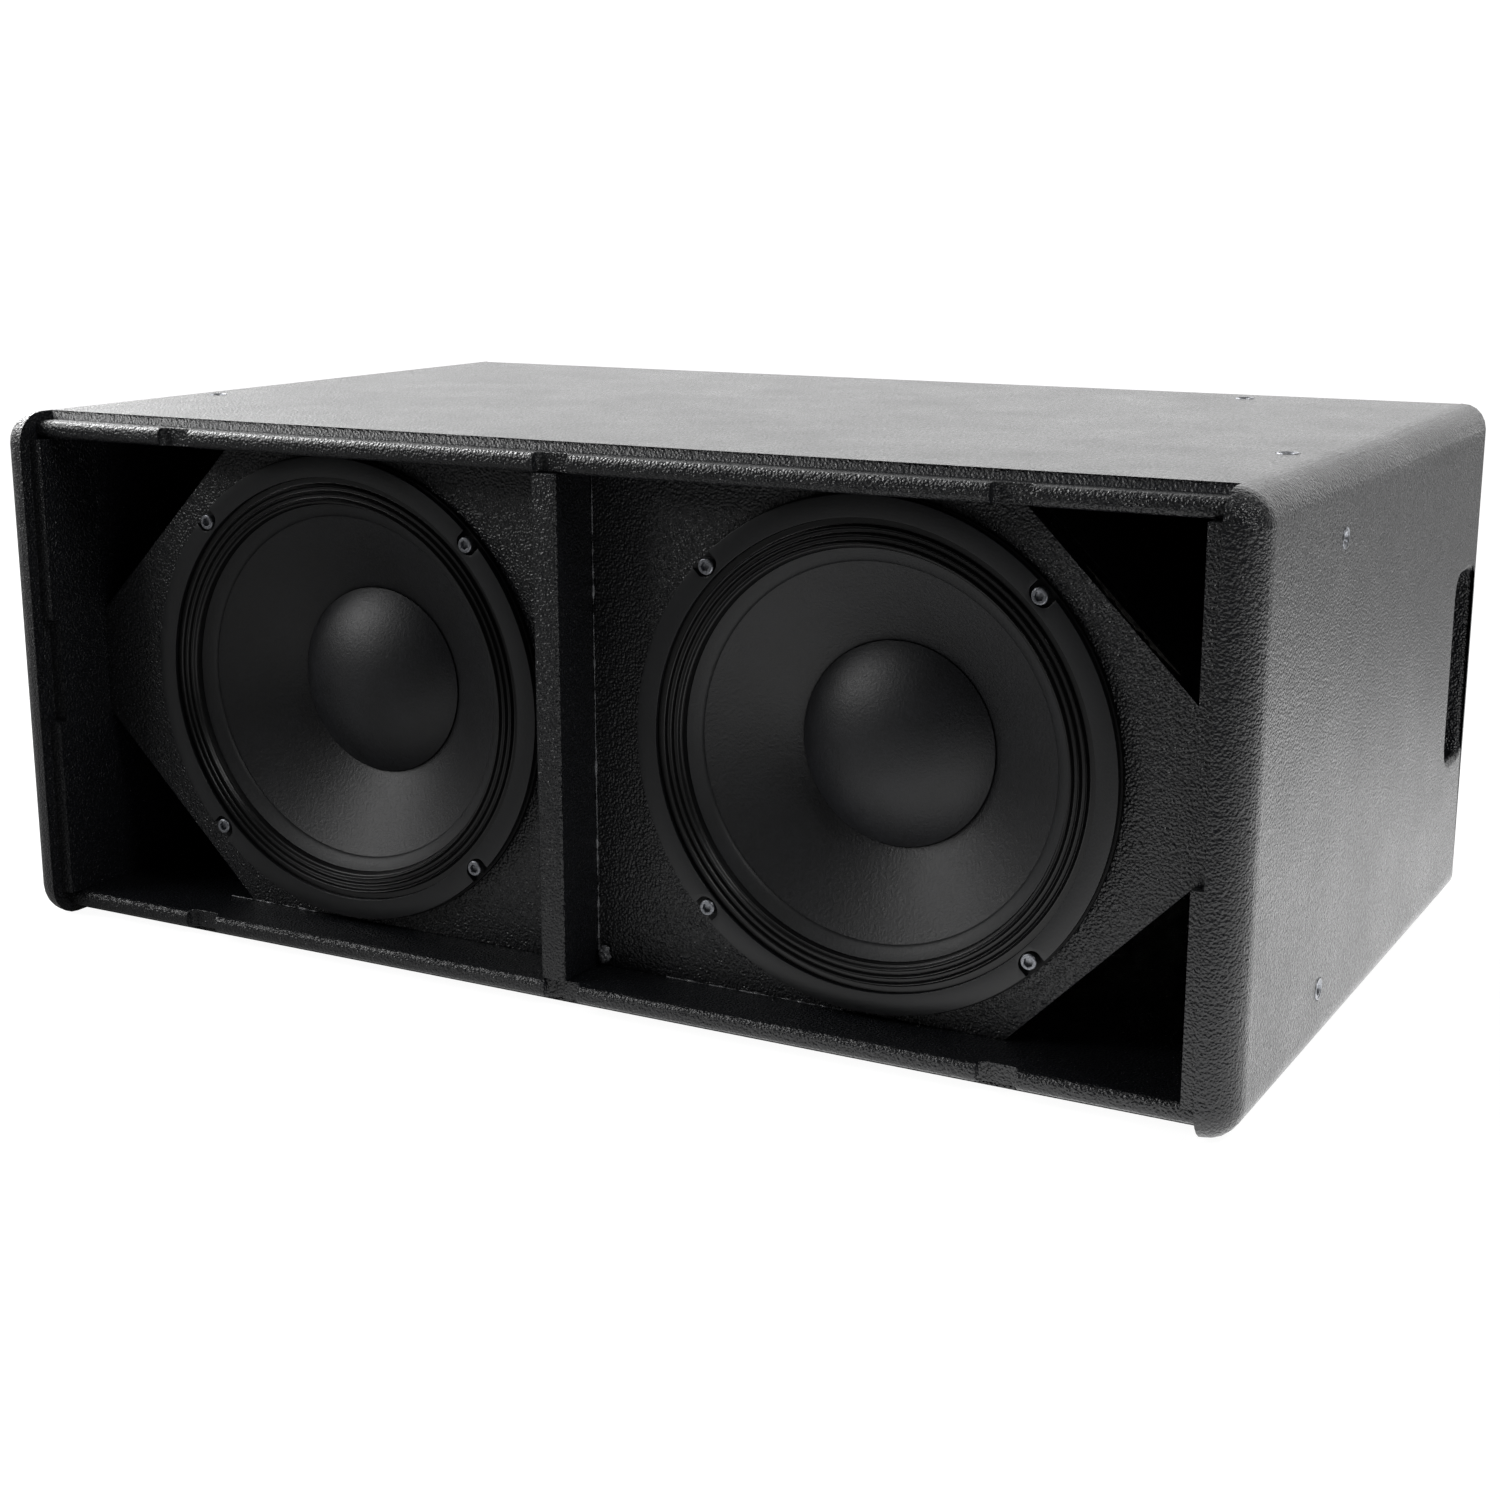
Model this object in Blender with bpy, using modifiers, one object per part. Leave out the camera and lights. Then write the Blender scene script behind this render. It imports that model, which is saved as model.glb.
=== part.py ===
"""Compact two-driver bass-reflex loudspeaker cabinet, lying on its long side, grille off.

Blender 4.5, metres, +Z up. The front faces -Y and +X is to the right as seen from the front.
The origin is the centre of the footprint, on the surface that the cabinet rests on.
Depths that end in _AT are measured back from the front edge of the side panels.
"""

import math

import bmesh
import bpy
from mathutils import Matrix, Vector

# Cabinet
WIDTH = 0.740
DEPTH = 0.460
HEIGHT = 0.300
GAP = 0.0003  # clearance left between pieces that touch
PANEL = 0.015  # top and bottom panels
REAR_PANEL = 0.012
SIDE = 0.027  # side panels
SIDE_LAND = 0.0185  # outer part of a side panel, beyond the housings for top and bottom
EDGE_ROUND = 0.018  # roundover of the side panels' outer and front edges
REAR_ROUND = 0.004  # small roundover at the back
REAR_INSET = 0.005  # rear panel set in, so that the sockets stay inside the outline
INNER_WIDTH = WIDTH - 2 * SIDE
INNER_HEIGHT = HEIGHT - 2 * PANEL
DRIVER_SCALE = min(INNER_WIDTH / 0.686, INNER_HEIGHT / 0.270)  # 1 for the 10 inch size

# Front edge: seat for a grille that is off
SIDE_SEAT_AT = 0.007  # front of the side panels' inner strip
LIP_AT = 0.013  # front of the top and bottom lips
STEP_AT = 0.026  # where the lip rises to full panel thickness
LIP_DROP = 0.005
LIP_ROUND = 0.0035
NOTCH_SPACING = 0.3365 * WIDTH
NOTCH_WIDTH = 0.021
NOTCH_DEPTH = 0.006
NOTCH_ROUND = 0.004
RELIEF_HEIGHT = 0.226 * INNER_HEIGHT  # shallow relief in the side seats at mid height
RELIEF_DEPTH = 0.005

# Baffle, divider and ports
BAFFLE_AT = 0.049
BAFFLE = 0.018
PORT_LEG = 0.104 * DRIVER_SCALE  # legs of the triangular ports at the baffle's outer corners
PORT_LENGTH = 0.522 * DEPTH
PORT_BOARD = 0.012
DIVIDER_AT = 0.015
DIVIDER = 0.015
DIVIDER_OFFSET = -0.0055  # the divider stands a little left of centre
BRACE = 0.015
BRACE_RIM = 0.035
BRACE_WINDOWS = 3

# Handles, inserts
HANDLE_AT = DEPTH - 0.042  # centre of the hand slot
HANDLE_WIDTH = 0.044
HANDLE_LENGTH = 0.112
HANDLE_ROUND = 0.012
HANDLE_EDGE = 0.004
CUP_DEPTH = 0.034
CUP_WALL = 0.0025
INSERT_RADIUS = 0.0058
INSERT_BORE = 0.0026
INSERT_DEPTH = 0.0145
SIDE_INSERT_AT = 0.1365
SIDE_INSERT_SPACING = HEIGHT - 0.074
TOP_INSERT_AT = 0.150
TOP_INSERT_SPACING = WIDTH - 0.068
REAR_INSERT_AT = DEPTH - 0.029
REAR_INSERT_OFFSET = 0.309 * WIDTH

# Drivers: radii from the driver's axis, depths back from the face of its gasket ring
DRIVER_SPACING = 0.4767 * INNER_WIDTH
DRIVER_FACE_AT = 0.0425
GASKET_OUTER = 0.1315 * DRIVER_SCALE
GASKET_INNER = 0.1203 * DRIVER_SCALE
GASKET = 0.0032
FLANGE_OUTER = 0.1325 * DRIVER_SCALE
FLANGE_INNER = 0.1162 * DRIVER_SCALE
BASKET_WALL = 0.002
CUTOUT_CLEARANCE = 0.0008
BASKET_STRAIGHT = 0.022  # depth at which the basket starts to narrow
SHELF_RADIUS = 0.064
SHELF_BORE = 0.052
SHELF_FRONT = 0.0725
BASKET_BACK = 0.0795
WINDOWS = 6
WINDOW_WIDTH = 0.044
SURROUND = 0.0007
SURROUND_LAND = 0.0175
CONE_OUTER = 0.1065 * DRIVER_SCALE
CONE_LAP = 0.009  # width of the surround's strip that is glued to the cone
CONE_RIM = 0.0058
CONE_NECK = 0.0535
CONE_FLARE = 0.0015
CONE = 0.0011
CAP_RADIUS = 0.0535 * DRIVER_SCALE
CAP_HEIGHT = 0.0187
CAP = 0.0008
COIL_RADIUS = 0.0320
COIL = 0.0009
COIL_END = 0.098
AIR_GAP = 0.0012
PLATE_RADIUS = 0.062
PLATE = 0.008
MAGNET_OUTER = 0.078 * DRIVER_SCALE
MAGNET_INNER = 0.042
MAGNET = 0.018
YOKE_RADIUS = 0.074
YOKE = 0.008
VENT_RADIUS = 0.010
TERMINAL = 0.006
SCREW_CIRCLE = 0.1268 * DRIVER_SCALE
SCREW_HOLE = 0.0028
SCREW_NOTCH = 0.0065  # half the width of a slot in the gasket
SCREW_NOTCH_REACH = 0.0046  # how far a slot goes in past the screw's axis
SCREW_HEAD = 0.00425
SCREW_HEAD_HEIGHT = 0.0045
SCREW_SHANK = 0.0024
SCREW_LENGTH = 0.018
HEX_SOCKET = 0.0024

# Rear input plate
INPUT_AT_X = 0.150
INPUT_WIDTH = 0.160
INPUT_HEIGHT = 0.090
INPUT_PLATE = 0.002
INPUT_OVERLAP = 0.012
SOCKET_SPACING = 0.060
SOCKET_FLANGE = 0.031
SOCKET_FLANGE_THICK = 0.002
SOCKET_OUTER = 0.0128
SOCKET_INNER = 0.0116
SOCKET_POST = 0.0055
SOCKET_DEPTH = 0.024
LEAD_RADIUS = 0.002

# Resolution
ROUND_STEPS = 36
HIDDEN_STEPS = 24
SMALL_STEPS = 12
FILLET_STEPS = 3

LAND_X = WIDTH / 2 - SIDE_LAND  # where the top and bottom panels end
INNER_X = WIDTH / 2 - SIDE  # inner face of the side panels
INNER_TOP = HEIGHT - PANEL
REAR_AT = DEPTH - REAR_INSET - REAR_PANEL  # front of the rear panel
MIDDLE = HEIGHT / 2
BACKWARD = Matrix.Rotation(-math.pi / 2, 4, "X")  # turns local +Z to +Y


def at(depth):
    """The Y of a depth measured back from the front of the cabinet."""
    return depth - DEPTH / 2


# ------------------------------------------------------------------ scene, materials


def empty_scene():
    for obj in list(bpy.data.objects):
        bpy.data.objects.remove(obj)


def collection(name):
    made = bpy.data.collections.new(name)
    bpy.context.scene.collection.children.link(made)
    return made


def material(name, color, roughness, metallic=0.0):
    made = bpy.data.materials.new(name)
    made.use_nodes = True
    shader = made.node_tree.nodes["Principled BSDF"]
    shader.inputs["Base Color"].default_value = (*color, 1.0)
    shader.inputs["Roughness"].default_value = roughness
    shader.inputs["Metallic"].default_value = metallic
    return made


empty_scene()
PARTS = collection("bass_cabinet")
CUTTERS = collection("cutters")

PAINT = material("textured_black_paint", (0.022, 0.023, 0.026), 0.55)
BARE_PLY = material("birch_plywood", (0.55, 0.40, 0.24), 0.7)
HANDLE_PLASTIC = material("handle_plastic", (0.03, 0.03, 0.033), 0.5)
ZINC = material("zinc_plated_steel", (0.55, 0.56, 0.58), 0.35, 1.0)
BLACK_STEEL = material("black_oxide_steel", (0.03, 0.03, 0.03), 0.35, 1.0)
BASKET_COAT = material("black_coated_steel", (0.025, 0.025, 0.027), 0.4, 0.3)
GASKET_FIBRE = material("gasket_fibre", (0.028, 0.029, 0.032), 0.55)
DOPED_CLOTH = material("doped_cloth", (0.012, 0.012, 0.013), 0.4)
PAPER = material("paper_cone", (0.022, 0.022, 0.025), 0.8)
CAP_FELT = material("dust_cap_paper", (0.020, 0.020, 0.023), 0.75)
SPIDER_CLOTH = material("spider_cloth", (0.55, 0.33, 0.12), 0.85)
COPPER = material("copper_winding", (0.72, 0.36, 0.18), 0.35, 1.0)
FERRITE = material("ferrite", (0.035, 0.035, 0.037), 0.6)
CONNECTOR = material("connector_plastic", (0.02, 0.02, 0.022), 0.4)
LEAD_PVC = material("lead_pvc", (0.35, 0.02, 0.02), 0.5)


# ------------------------------------------------------------------ shared modelling steps


def add(name, data, look=None, place=Matrix.Identity(4), parent=None, into=None):
    """An object in the parts collection, or in another one."""
    obj = bpy.data.objects.new(name, data)
    (into or PARTS).objects.link(obj)
    if look is not None and not data.materials:
        data.materials.append(look)
    obj.parent = parent
    obj.matrix_local = place
    return obj


def baked(obj):
    """Replaces an object's curve, or its mesh and modifiers, with the evaluated mesh."""
    bpy.context.view_layer.update()
    graph = bpy.context.evaluated_depsgraph_get()
    mesh = bpy.data.meshes.new_from_object(obj.evaluated_get(graph))
    shape = bmesh.new()
    shape.from_mesh(mesh)
    bmesh.ops.remove_doubles(shape, verts=shape.verts, dist=1e-6)
    bmesh.ops.recalc_face_normals(shape, faces=shape.faces)
    shape.to_mesh(mesh)
    shape.free()
    name, into = obj.name, obj.users_collection[0]
    place, parent = obj.matrix_local.copy(), obj.parent
    look = obj.data.materials[0] if obj.data.materials else None
    bpy.data.objects.remove(obj)
    return add(name, mesh, look, place, parent, into)


def smooth(obj, degrees=35):
    obj.data.shade_smooth()
    obj.data.set_sharp_from_angle(angle=math.radians(degrees))
    return obj


def place_plane(along, up, centre):
    """The placement whose local X, Y and Z run along, up, and across both."""
    along, up = Vector(along), Vector(up)
    across = along.cross(up)
    turned_to = Matrix((along, up, across)).transposed().to_4x4()
    return Matrix.Translation(centre) @ turned_to


def filleted(corners, steps=FILLET_STEPS):
    """Outline points of a polygon whose corners (x, y, radius) are rounded with arcs."""
    points = []
    count = len(corners)
    for i, (x, y, radius) in enumerate(corners):
        here = Vector((x, y))
        if radius <= 0:
            points.append(here)
            continue
        before = (Vector(corners[i - 1][:2]) - here).normalized()
        after = (Vector(corners[(i + 1) % count][:2]) - here).normalized()
        half = before.angle(after) / 2
        centre = here + (before + after).normalized() * radius / math.sin(half)
        start = here + before * radius / math.tan(half) - centre
        end = here + after * radius / math.tan(half) - centre
        turn = start.angle_signed(end)
        for k in range(steps + 1):
            points.append(centre + Matrix.Rotation(-turn * k / steps, 2) @ start)
    return points


def rectangle(low, high, radius=0.0):
    (x0, y0), (x1, y1) = low, high
    return filleted([(x0, y0, radius), (x1, y0, radius), (x1, y1, radius), (x0, y1, radius)])


def circle(radius, centre=(0, 0), steps=ROUND_STEPS):
    step = 2 * math.pi / steps
    return [
        Vector((centre[0] + radius * math.cos(i * step), centre[1] + radius * math.sin(i * step)))
        for i in range(steps)
    ]


def plate(name, outlines, thickness, place, look=None, parent=None, into=None):
    """A flat plate: the first outline is its edge, the others are holes."""
    curve = bpy.data.curves.new(name, "CURVE")
    curve.dimensions = "2D"
    curve.fill_mode = "BOTH"
    curve.extrude = thickness / 2
    for outline in outlines:
        spline = curve.splines.new("POLY")
        spline.points.add(len(outline) - 1)
        for point, (x, y) in zip(spline.points, outline):
            point.co = (x, y, 0, 1)
        spline.use_cyclic_u = True
    return baked(add(name, curve, look, place, parent, into))


def block(name, low, high, look=None, into=None):
    """A box between two corners."""
    low, high = Vector(low), Vector(high)
    mesh = bpy.data.meshes.new(name)
    shape = bmesh.new()
    bmesh.ops.create_cube(shape, size=1.0)
    bmesh.ops.scale(shape, vec=high - low, verts=shape.verts)
    bmesh.ops.translate(shape, vec=(low + high) / 2, verts=shape.verts)
    shape.to_mesh(mesh)
    shape.free()
    return add(name, mesh, look, into=into)


def turned(name, profile, look, parent=None, place=Matrix.Identity(4), steps=ROUND_STEPS,
           closed=True, into=None):
    """A turned piece. The profile (radius, height) runs down its outer side."""
    mesh = bpy.data.meshes.new(name)
    count = len(profile)
    edges = [(i, i + 1) for i in range(count - 1)]
    if closed:
        edges.append((count - 1, 0))
    mesh.from_pydata([(r, 0, z) for r, z in profile], edges, [])
    obj = add(name, mesh, look, place, parent, into)
    spin = obj.modifiers.new("turn", "SCREW")
    spin.axis = "Z"
    spin.angle = 2 * math.pi
    spin.steps = steps
    spin.render_steps = steps
    spin.use_merge_vertices = True
    spin.merge_threshold = 1e-5
    return obj


def cut(obj, *cutters):
    """Subtracts each cutter from the object."""
    for cutter in cutters:
        cutter.hide_render = True
        cutter.display_type = "WIRE"
        boolean = obj.modifiers.new("cut", "BOOLEAN")
        boolean.operation = "DIFFERENCE"
        boolean.object = cutter
    return obj


def round_edges(obj, chosen, radius, segments):
    """Rounds the edges that satisfy chosen(one end, other end), in world positions."""
    shape = bmesh.new()
    shape.from_mesh(obj.data)
    edges = [e for e in shape.edges if chosen(e.verts[0].co, e.verts[1].co)]
    bmesh.ops.bevel(shape, geom=edges, offset=radius, offset_type="OFFSET", segments=segments,
                    profile=0.5, affect="EDGES", clamp_overlap=True, material=-1)
    shape.to_mesh(obj.data)
    shape.free()
    return obj


# ------------------------------------------------------------------ cabinet panels


def bore_cutter(name, radius, length, place):
    return plate(name, [circle(radius, steps=SMALL_STEPS)], length, place, into=CUTTERS)


def side_panel(name, side):
    """A thick side panel: rounded outside, housed for top and bottom, seated for the grille."""
    outer = WIDTH / 2
    panel = block(name, (INNER_X, at(0), 0), (outer, at(DEPTH), HEIGHT), PAINT)
    near = 1e-5
    round_edges(panel, lambda a, b: min(a.x, b.x) > outer - near
                or max(a.y, b.y) < at(0) + near and abs(a.z - b.z) < near, EDGE_ROUND, 6)
    back = at(DEPTH) - near
    round_edges(panel, lambda a, b: min(a.y, b.y) > back and min(a.x, b.x) > LAND_X,
                REAR_ROUND, 2)
    beyond = 0.01
    land = LAND_X
    seat = block("seat", (INNER_X - beyond, at(-beyond), -beyond),
                 (land, at(SIDE_SEAT_AT), HEIGHT + beyond), into=CUTTERS)
    relief = block("relief", (INNER_X - beyond, at(0), MIDDLE - RELIEF_HEIGHT / 2),
                   (land, at(SIDE_SEAT_AT + RELIEF_DEPTH), MIDDLE + RELIEF_HEIGHT / 2),
                   into=CUTTERS)
    housings = [
        block("housing", (INNER_X - beyond, at(-beyond), low),
              (land, at(DEPTH + beyond), high), into=CUTTERS)
        for low, high in ((-beyond, PANEL + GAP), (INNER_TOP - GAP, HEIGHT + beyond))
    ]
    along_x = place_plane((0, 1, 0), (0, 0, 1), (INNER_X, at(HANDLE_AT), MIDDLE))
    half = (HANDLE_WIDTH / 2, HANDLE_LENGTH / 2)
    slot = plate("hand_slot", [rectangle((-half[0], -half[1]), half, HANDLE_ROUND)],
                 4 * SIDE, along_x, into=CUTTERS)
    bores = [
        bore_cutter("insert_bore", INSERT_RADIUS + GAP, 2 * (INSERT_DEPTH + GAP),
                    place_plane((0, 1, 0), (0, 0, 1), (outer, at(SIDE_INSERT_AT), MIDDLE + dz)))
        for dz in (-SIDE_INSERT_SPACING / 2, SIDE_INSERT_SPACING / 2)
    ]
    panel = baked(cut(panel, seat, relief, *housings, slot, *bores))
    reach = (half[0] + 1e-4, half[1] + 1e-4)
    on_rim = lambda p: (p.x > outer - near and abs(p.y - at(HANDLE_AT)) < reach[0]
                        and abs(p.z - MIDDLE) < reach[1])
    round_edges(panel, lambda a, b: on_rim(a) and on_rim(b), HANDLE_EDGE, 3)
    if side < 0:
        mirror_mesh(panel)
    return smooth(panel)


def mirror_mesh(obj):
    """Turns a right-hand piece into the left-hand one."""
    shape = bmesh.new()
    shape.from_mesh(obj.data)
    bmesh.ops.scale(shape, vec=(-1, 1, 1), verts=shape.verts)
    bmesh.ops.reverse_faces(shape, faces=shape.faces)
    shape.to_mesh(obj.data)
    shape.free()


def lipped_panel(name, upside_down, bores):
    """The top or bottom panel: a board whose front is stepped down to a lip for the grille."""
    corners = [
        (at(LIP_AT), INNER_TOP, LIP_ROUND),
        (at(LIP_AT), HEIGHT - LIP_DROP, LIP_ROUND),
        (at(STEP_AT), HEIGHT - LIP_DROP, 0),
        (at(STEP_AT), HEIGHT, 0),
        (at(DEPTH), HEIGHT, REAR_ROUND),
        (at(DEPTH), INNER_TOP, 0),
    ]
    if upside_down:
        corners = [(y, HEIGHT - z, radius) for y, z, radius in corners]
    across = place_plane((0, 1, 0), (0, 0, 1), (0, 0, 0))
    panel = plate(name, [filleted(corners)], 2 * (LAND_X - GAP), across, PAINT)
    notches = []
    for x in (-NOTCH_SPACING, 0, NOTCH_SPACING):
        outline = filleted([
            (x - NOTCH_WIDTH / 2, at(0), 0), (x + NOTCH_WIDTH / 2, at(0), 0),
            (x + NOTCH_WIDTH / 2, at(LIP_AT + NOTCH_DEPTH), NOTCH_ROUND),
            (x - NOTCH_WIDTH / 2, at(LIP_AT + NOTCH_DEPTH), NOTCH_ROUND),
        ])
        notches.append(plate("notch", [outline], 4 * HEIGHT, Matrix.Identity(4), into=CUTTERS))
    drilled = [
        bore_cutter("insert_bore", INSERT_RADIUS + GAP, 4 * PANEL,
                    Matrix.Translation((x, at(depth), HEIGHT)))
        for x, depth in bores
    ]
    return smooth(baked(cut(panel, *notches, *drilled)))


def rear_panel():
    low = (-INNER_X + GAP, PANEL + GAP)
    high = (INNER_X - GAP, INNER_TOP - GAP)
    reach = (INPUT_WIDTH / 2 - INPUT_OVERLAP, INPUT_HEIGHT / 2 - INPUT_OVERLAP)
    opening = rectangle((INPUT_AT_X - reach[0], MIDDLE - reach[1]),
                        (INPUT_AT_X + reach[0], MIDDLE + reach[1]), 0.006)
    screws = [circle(SCREW_HOLE, c, SMALL_STEPS) for c in input_screw_centres()]
    place = place_plane((1, 0, 0), (0, 0, 1), (0, at(REAR_AT + REAR_PANEL / 2), 0))
    return plate("rear_panel", [rectangle(low, high), opening, *screws], REAR_PANEL, place, PAINT)


def driver_centres():
    return {"left": -DRIVER_SPACING / 2, "right": DRIVER_SPACING / 2}


def baffle():
    """The board that carries the drivers. Its cut corners are the mouths of the ports."""
    x, low, high = INNER_X - GAP, PANEL + GAP, INNER_TOP - GAP
    leg = PORT_LEG - GAP
    outline = [
        (-x + leg, low), (x - leg, low), (x, low + leg), (x, high - leg),
        (x - leg, high), (-x + leg, high), (-x, high - leg), (-x, low + leg),
    ]
    holes = []
    for centre in driver_centres().values():
        cutout = FLANGE_INNER + BASKET_WALL + CUTOUT_CLEARANCE
        holes.append(circle(cutout, (centre, MIDDLE)))
        for angle in screw_angles():
            spot = (centre + SCREW_CIRCLE * math.cos(angle), MIDDLE + SCREW_CIRCLE * math.sin(angle))
            holes.append(circle(SCREW_HOLE, spot, 12))
    place = place_plane((1, 0, 0), (0, 0, 1), (0, at(BAFFLE_AT + BAFFLE / 2), 0))
    return plate("baffle", [outline, *holes], BAFFLE, place, PAINT)


def front_divider():
    low = (DIVIDER_OFFSET - DIVIDER / 2, at(DIVIDER_AT))
    high = (DIVIDER_OFFSET + DIVIDER / 2, at(BAFFLE_AT) - GAP)
    edge = 0.0015
    outline = filleted([(low[0], low[1], edge), (high[0], low[1], edge),
                        (high[0], high[1], 0), (low[0], high[1], 0)], 2)
    height = INNER_HEIGHT - 2 * GAP
    place = Matrix.Translation((0, 0, MIDDLE))
    return smooth(plate("front_divider", [outline], height, place, PAINT))


def centre_brace():
    """An open frame that ties top, bottom, baffle and rear panel together."""
    low = (at(BAFFLE_AT + BAFFLE) + GAP, PANEL + GAP)
    high = (at(REAR_AT) - GAP, INNER_TOP - GAP)
    pitch = (high[0] - low[0] - BRACE_RIM) / BRACE_WINDOWS
    windows = [
        rectangle((low[0] + BRACE_RIM + i * pitch, low[1] + BRACE_RIM),
                  (low[0] + (i + 1) * pitch, high[1] - BRACE_RIM), 0.02)
        for i in range(BRACE_WINDOWS)
    ]
    place = place_plane((0, 1, 0), (0, 0, 1), (0, 0, 0))
    return plate("centre_brace", [rectangle(low, high), *windows], BRACE, place, BARE_PLY)


def port_board(name, side, upper):
    """A diagonal board behind a cut corner of the baffle, mitred to the panels it meets."""
    x, z = INNER_X - GAP, INNER_TOP - GAP
    total = INNER_X + INNER_TOP - PORT_LEG  # x + z along the port's sloping side
    inner = total - PORT_BOARD * math.sqrt(2)
    outline = [(x, total - x), (total - z, z), (inner - z, z), (x, inner - x)]
    if not upper:
        outline = [(px, HEIGHT - pz) for px, pz in outline]
    outline = [(side * px, pz) for px, pz in outline]
    start = BAFFLE_AT + BAFFLE + GAP
    place = place_plane((1, 0, 0), (0, 0, 1), (0, at(start + PORT_LENGTH / 2), 0))
    return plate(name, [outline], PORT_LENGTH, place, PAINT)


def handle_cup(name, side):
    """The closed pocket behind a hand slot."""
    half_y, half_z = HANDLE_WIDTH / 2, HANDLE_LENGTH / 2
    centre = at(HANDLE_AT)
    face = INNER_X - GAP
    place = place_plane((0, 1, 0), (0, 0, 1), (face - CUP_DEPTH / 2, 0, 0))
    outline = rectangle((centre - half_y - CUP_WALL, MIDDLE - half_z - CUP_WALL),
                        (centre + half_y + CUP_WALL, MIDDLE + half_z + CUP_WALL),
                        HANDLE_ROUND + CUP_WALL)
    hollow = rectangle((centre - half_y, MIDDLE - half_z), (centre + half_y, MIDDLE + half_z),
                       HANDLE_ROUND)
    cup = plate(name, [outline], CUP_DEPTH, place, HANDLE_PLASTIC)
    pocket = plate("pocket", [hollow], 2 * (CUP_DEPTH - CUP_WALL),
                   place_plane((0, 1, 0), (0, 0, 1), (face, 0, 0)), into=CUTTERS)
    cup = baked(cut(cup, pocket))
    cup.data.transform(place)
    cup.matrix_local = Matrix.Identity(4)
    if side < 0:
        mirror_mesh(cup)
    return smooth(cup)


def threaded_insert(name, place):
    """A flush steel insert, its mouth towards local +Z."""
    profile = [(INSERT_RADIUS, 0), (INSERT_RADIUS, -INSERT_DEPTH),
               (INSERT_BORE, -INSERT_DEPTH), (INSERT_BORE, -0.0008), (INSERT_BORE + 0.0008, 0)]
    return smooth(turned(name, profile, BLACK_STEEL, place=place, steps=SMALL_STEPS))


# ------------------------------------------------------------------ drivers


def screw_angles():
    return [math.radians(a) for a in (45, 135, 225, 315)]


def socket_screw_mesh():
    """A cap screw with a hex socket. Its head is towards local -Z and seats at the origin."""
    tip, chamfer = SCREW_LENGTH, 0.0005
    profile = [
        (0, tip), (SCREW_SHANK, tip), (SCREW_SHANK, 0), (SCREW_HEAD, 0),
        (SCREW_HEAD, -SCREW_HEAD_HEIGHT + chamfer),
        (SCREW_HEAD - chamfer, -SCREW_HEAD_HEIGHT), (0, -SCREW_HEAD_HEIGHT),
    ]
    screw = turned("screw_pattern", profile, BLACK_STEEL, steps=SMALL_STEPS, closed=False)
    depth = 0.0026
    key = plate("hex_key", [circle(HEX_SOCKET, steps=6)], 2 * depth,
                Matrix.Translation((0, 0, -SCREW_HEAD_HEIGHT)), into=CUTTERS)
    screw = smooth(baked(cut(screw, key)), 40)
    mesh = screw.data
    bpy.data.objects.remove(screw)
    return mesh


def gasket_ring(name, parent):
    """A flat ring with four slots open to the outside, round the screw heads."""
    outline = []
    reach = math.asin(SCREW_NOTCH / GASKET_OUTER)
    angles = screw_angles()
    for i, angle in enumerate(angles):
        radial = Vector((math.cos(angle), math.sin(angle)))
        sideways = Vector((-radial.y, radial.x))
        for k in range(7):
            turn = math.pi * k / 6
            outline.append(radial * (SCREW_CIRCLE - SCREW_NOTCH_REACH * math.sin(turn))
                           - sideways * SCREW_NOTCH * math.cos(turn))
        following = angles[(i + 1) % 4] + (2 * math.pi if i == 3 else 0)
        start, end = angle + reach, following - reach
        steps = ROUND_STEPS // 4
        for k in range(steps + 1):
            a = start + (end - start) * k / steps
            outline.append(Vector((math.cos(a), math.sin(a))) * GASKET_OUTER)
    place = Matrix.Translation((0, 0, GASKET / 2))
    return plate(name, [outline, circle(GASKET_INNER)], GASKET, place, GASKET_FIBRE, parent)


def flange_back():
    return BAFFLE_AT - DRIVER_FACE_AT - GAP


def basket(name, parent):
    """The pressed frame: flange, straight wall, six spokes and the shelf for the spider."""
    front = GASKET + GAP
    wall_in, wall_out = FLANGE_INNER, FLANGE_INNER + BASKET_WALL
    skirt = BASKET_STRAIGHT
    lean = BASKET_WALL
    profile = [
        (SHELF_RADIUS, BASKET_BACK),
        (SHELF_RADIUS, SHELF_FRONT + 2 * lean),
        (wall_out, skirt),
        (wall_out, flange_back()),
        (FLANGE_OUTER, flange_back()),
        (FLANGE_OUTER, front),
        (wall_in, front),
        (wall_in, skirt - lean / 2),
        (SHELF_RADIUS - lean, SHELF_FRONT),
        (SHELF_BORE, SHELF_FRONT),
        (SHELF_BORE, BASKET_BACK),
    ]
    frame = turned(name, profile, BASKET_COAT, parent)
    cutters = []
    for i in range(WINDOWS):
        angle = 2 * math.pi * (i + 0.5) / WINDOWS
        low, high = BASKET_STRAIGHT + 0.006, SHELF_FRONT - 0.008
        window = block("window", (SHELF_BORE, -WINDOW_WIDTH / 2, low),
                       (FLANGE_OUTER, WINDOW_WIDTH / 2, high), into=CUTTERS)
        window.parent = parent
        window.matrix_local = Matrix.Rotation(angle, 4, "Z")
        cutters.append(window)
    for angle in screw_angles():
        spot = (SCREW_CIRCLE * math.cos(angle), SCREW_CIRCLE * math.sin(angle), front)
        hole = plate("flange_hole", [circle(SCREW_HOLE, steps=12)], 8 * GASKET,
                     Matrix.Translation(spot), parent=parent, into=CUTTERS)
        cutters.append(hole)
    return smooth(baked(cut(frame, *cutters)))


def thicken(line, thickness):
    """A closed profile from a line of (radius, depth) points that runs outwards."""
    back = [(r, z + thickness) for r, z in line]
    return back + line[::-1]


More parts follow.
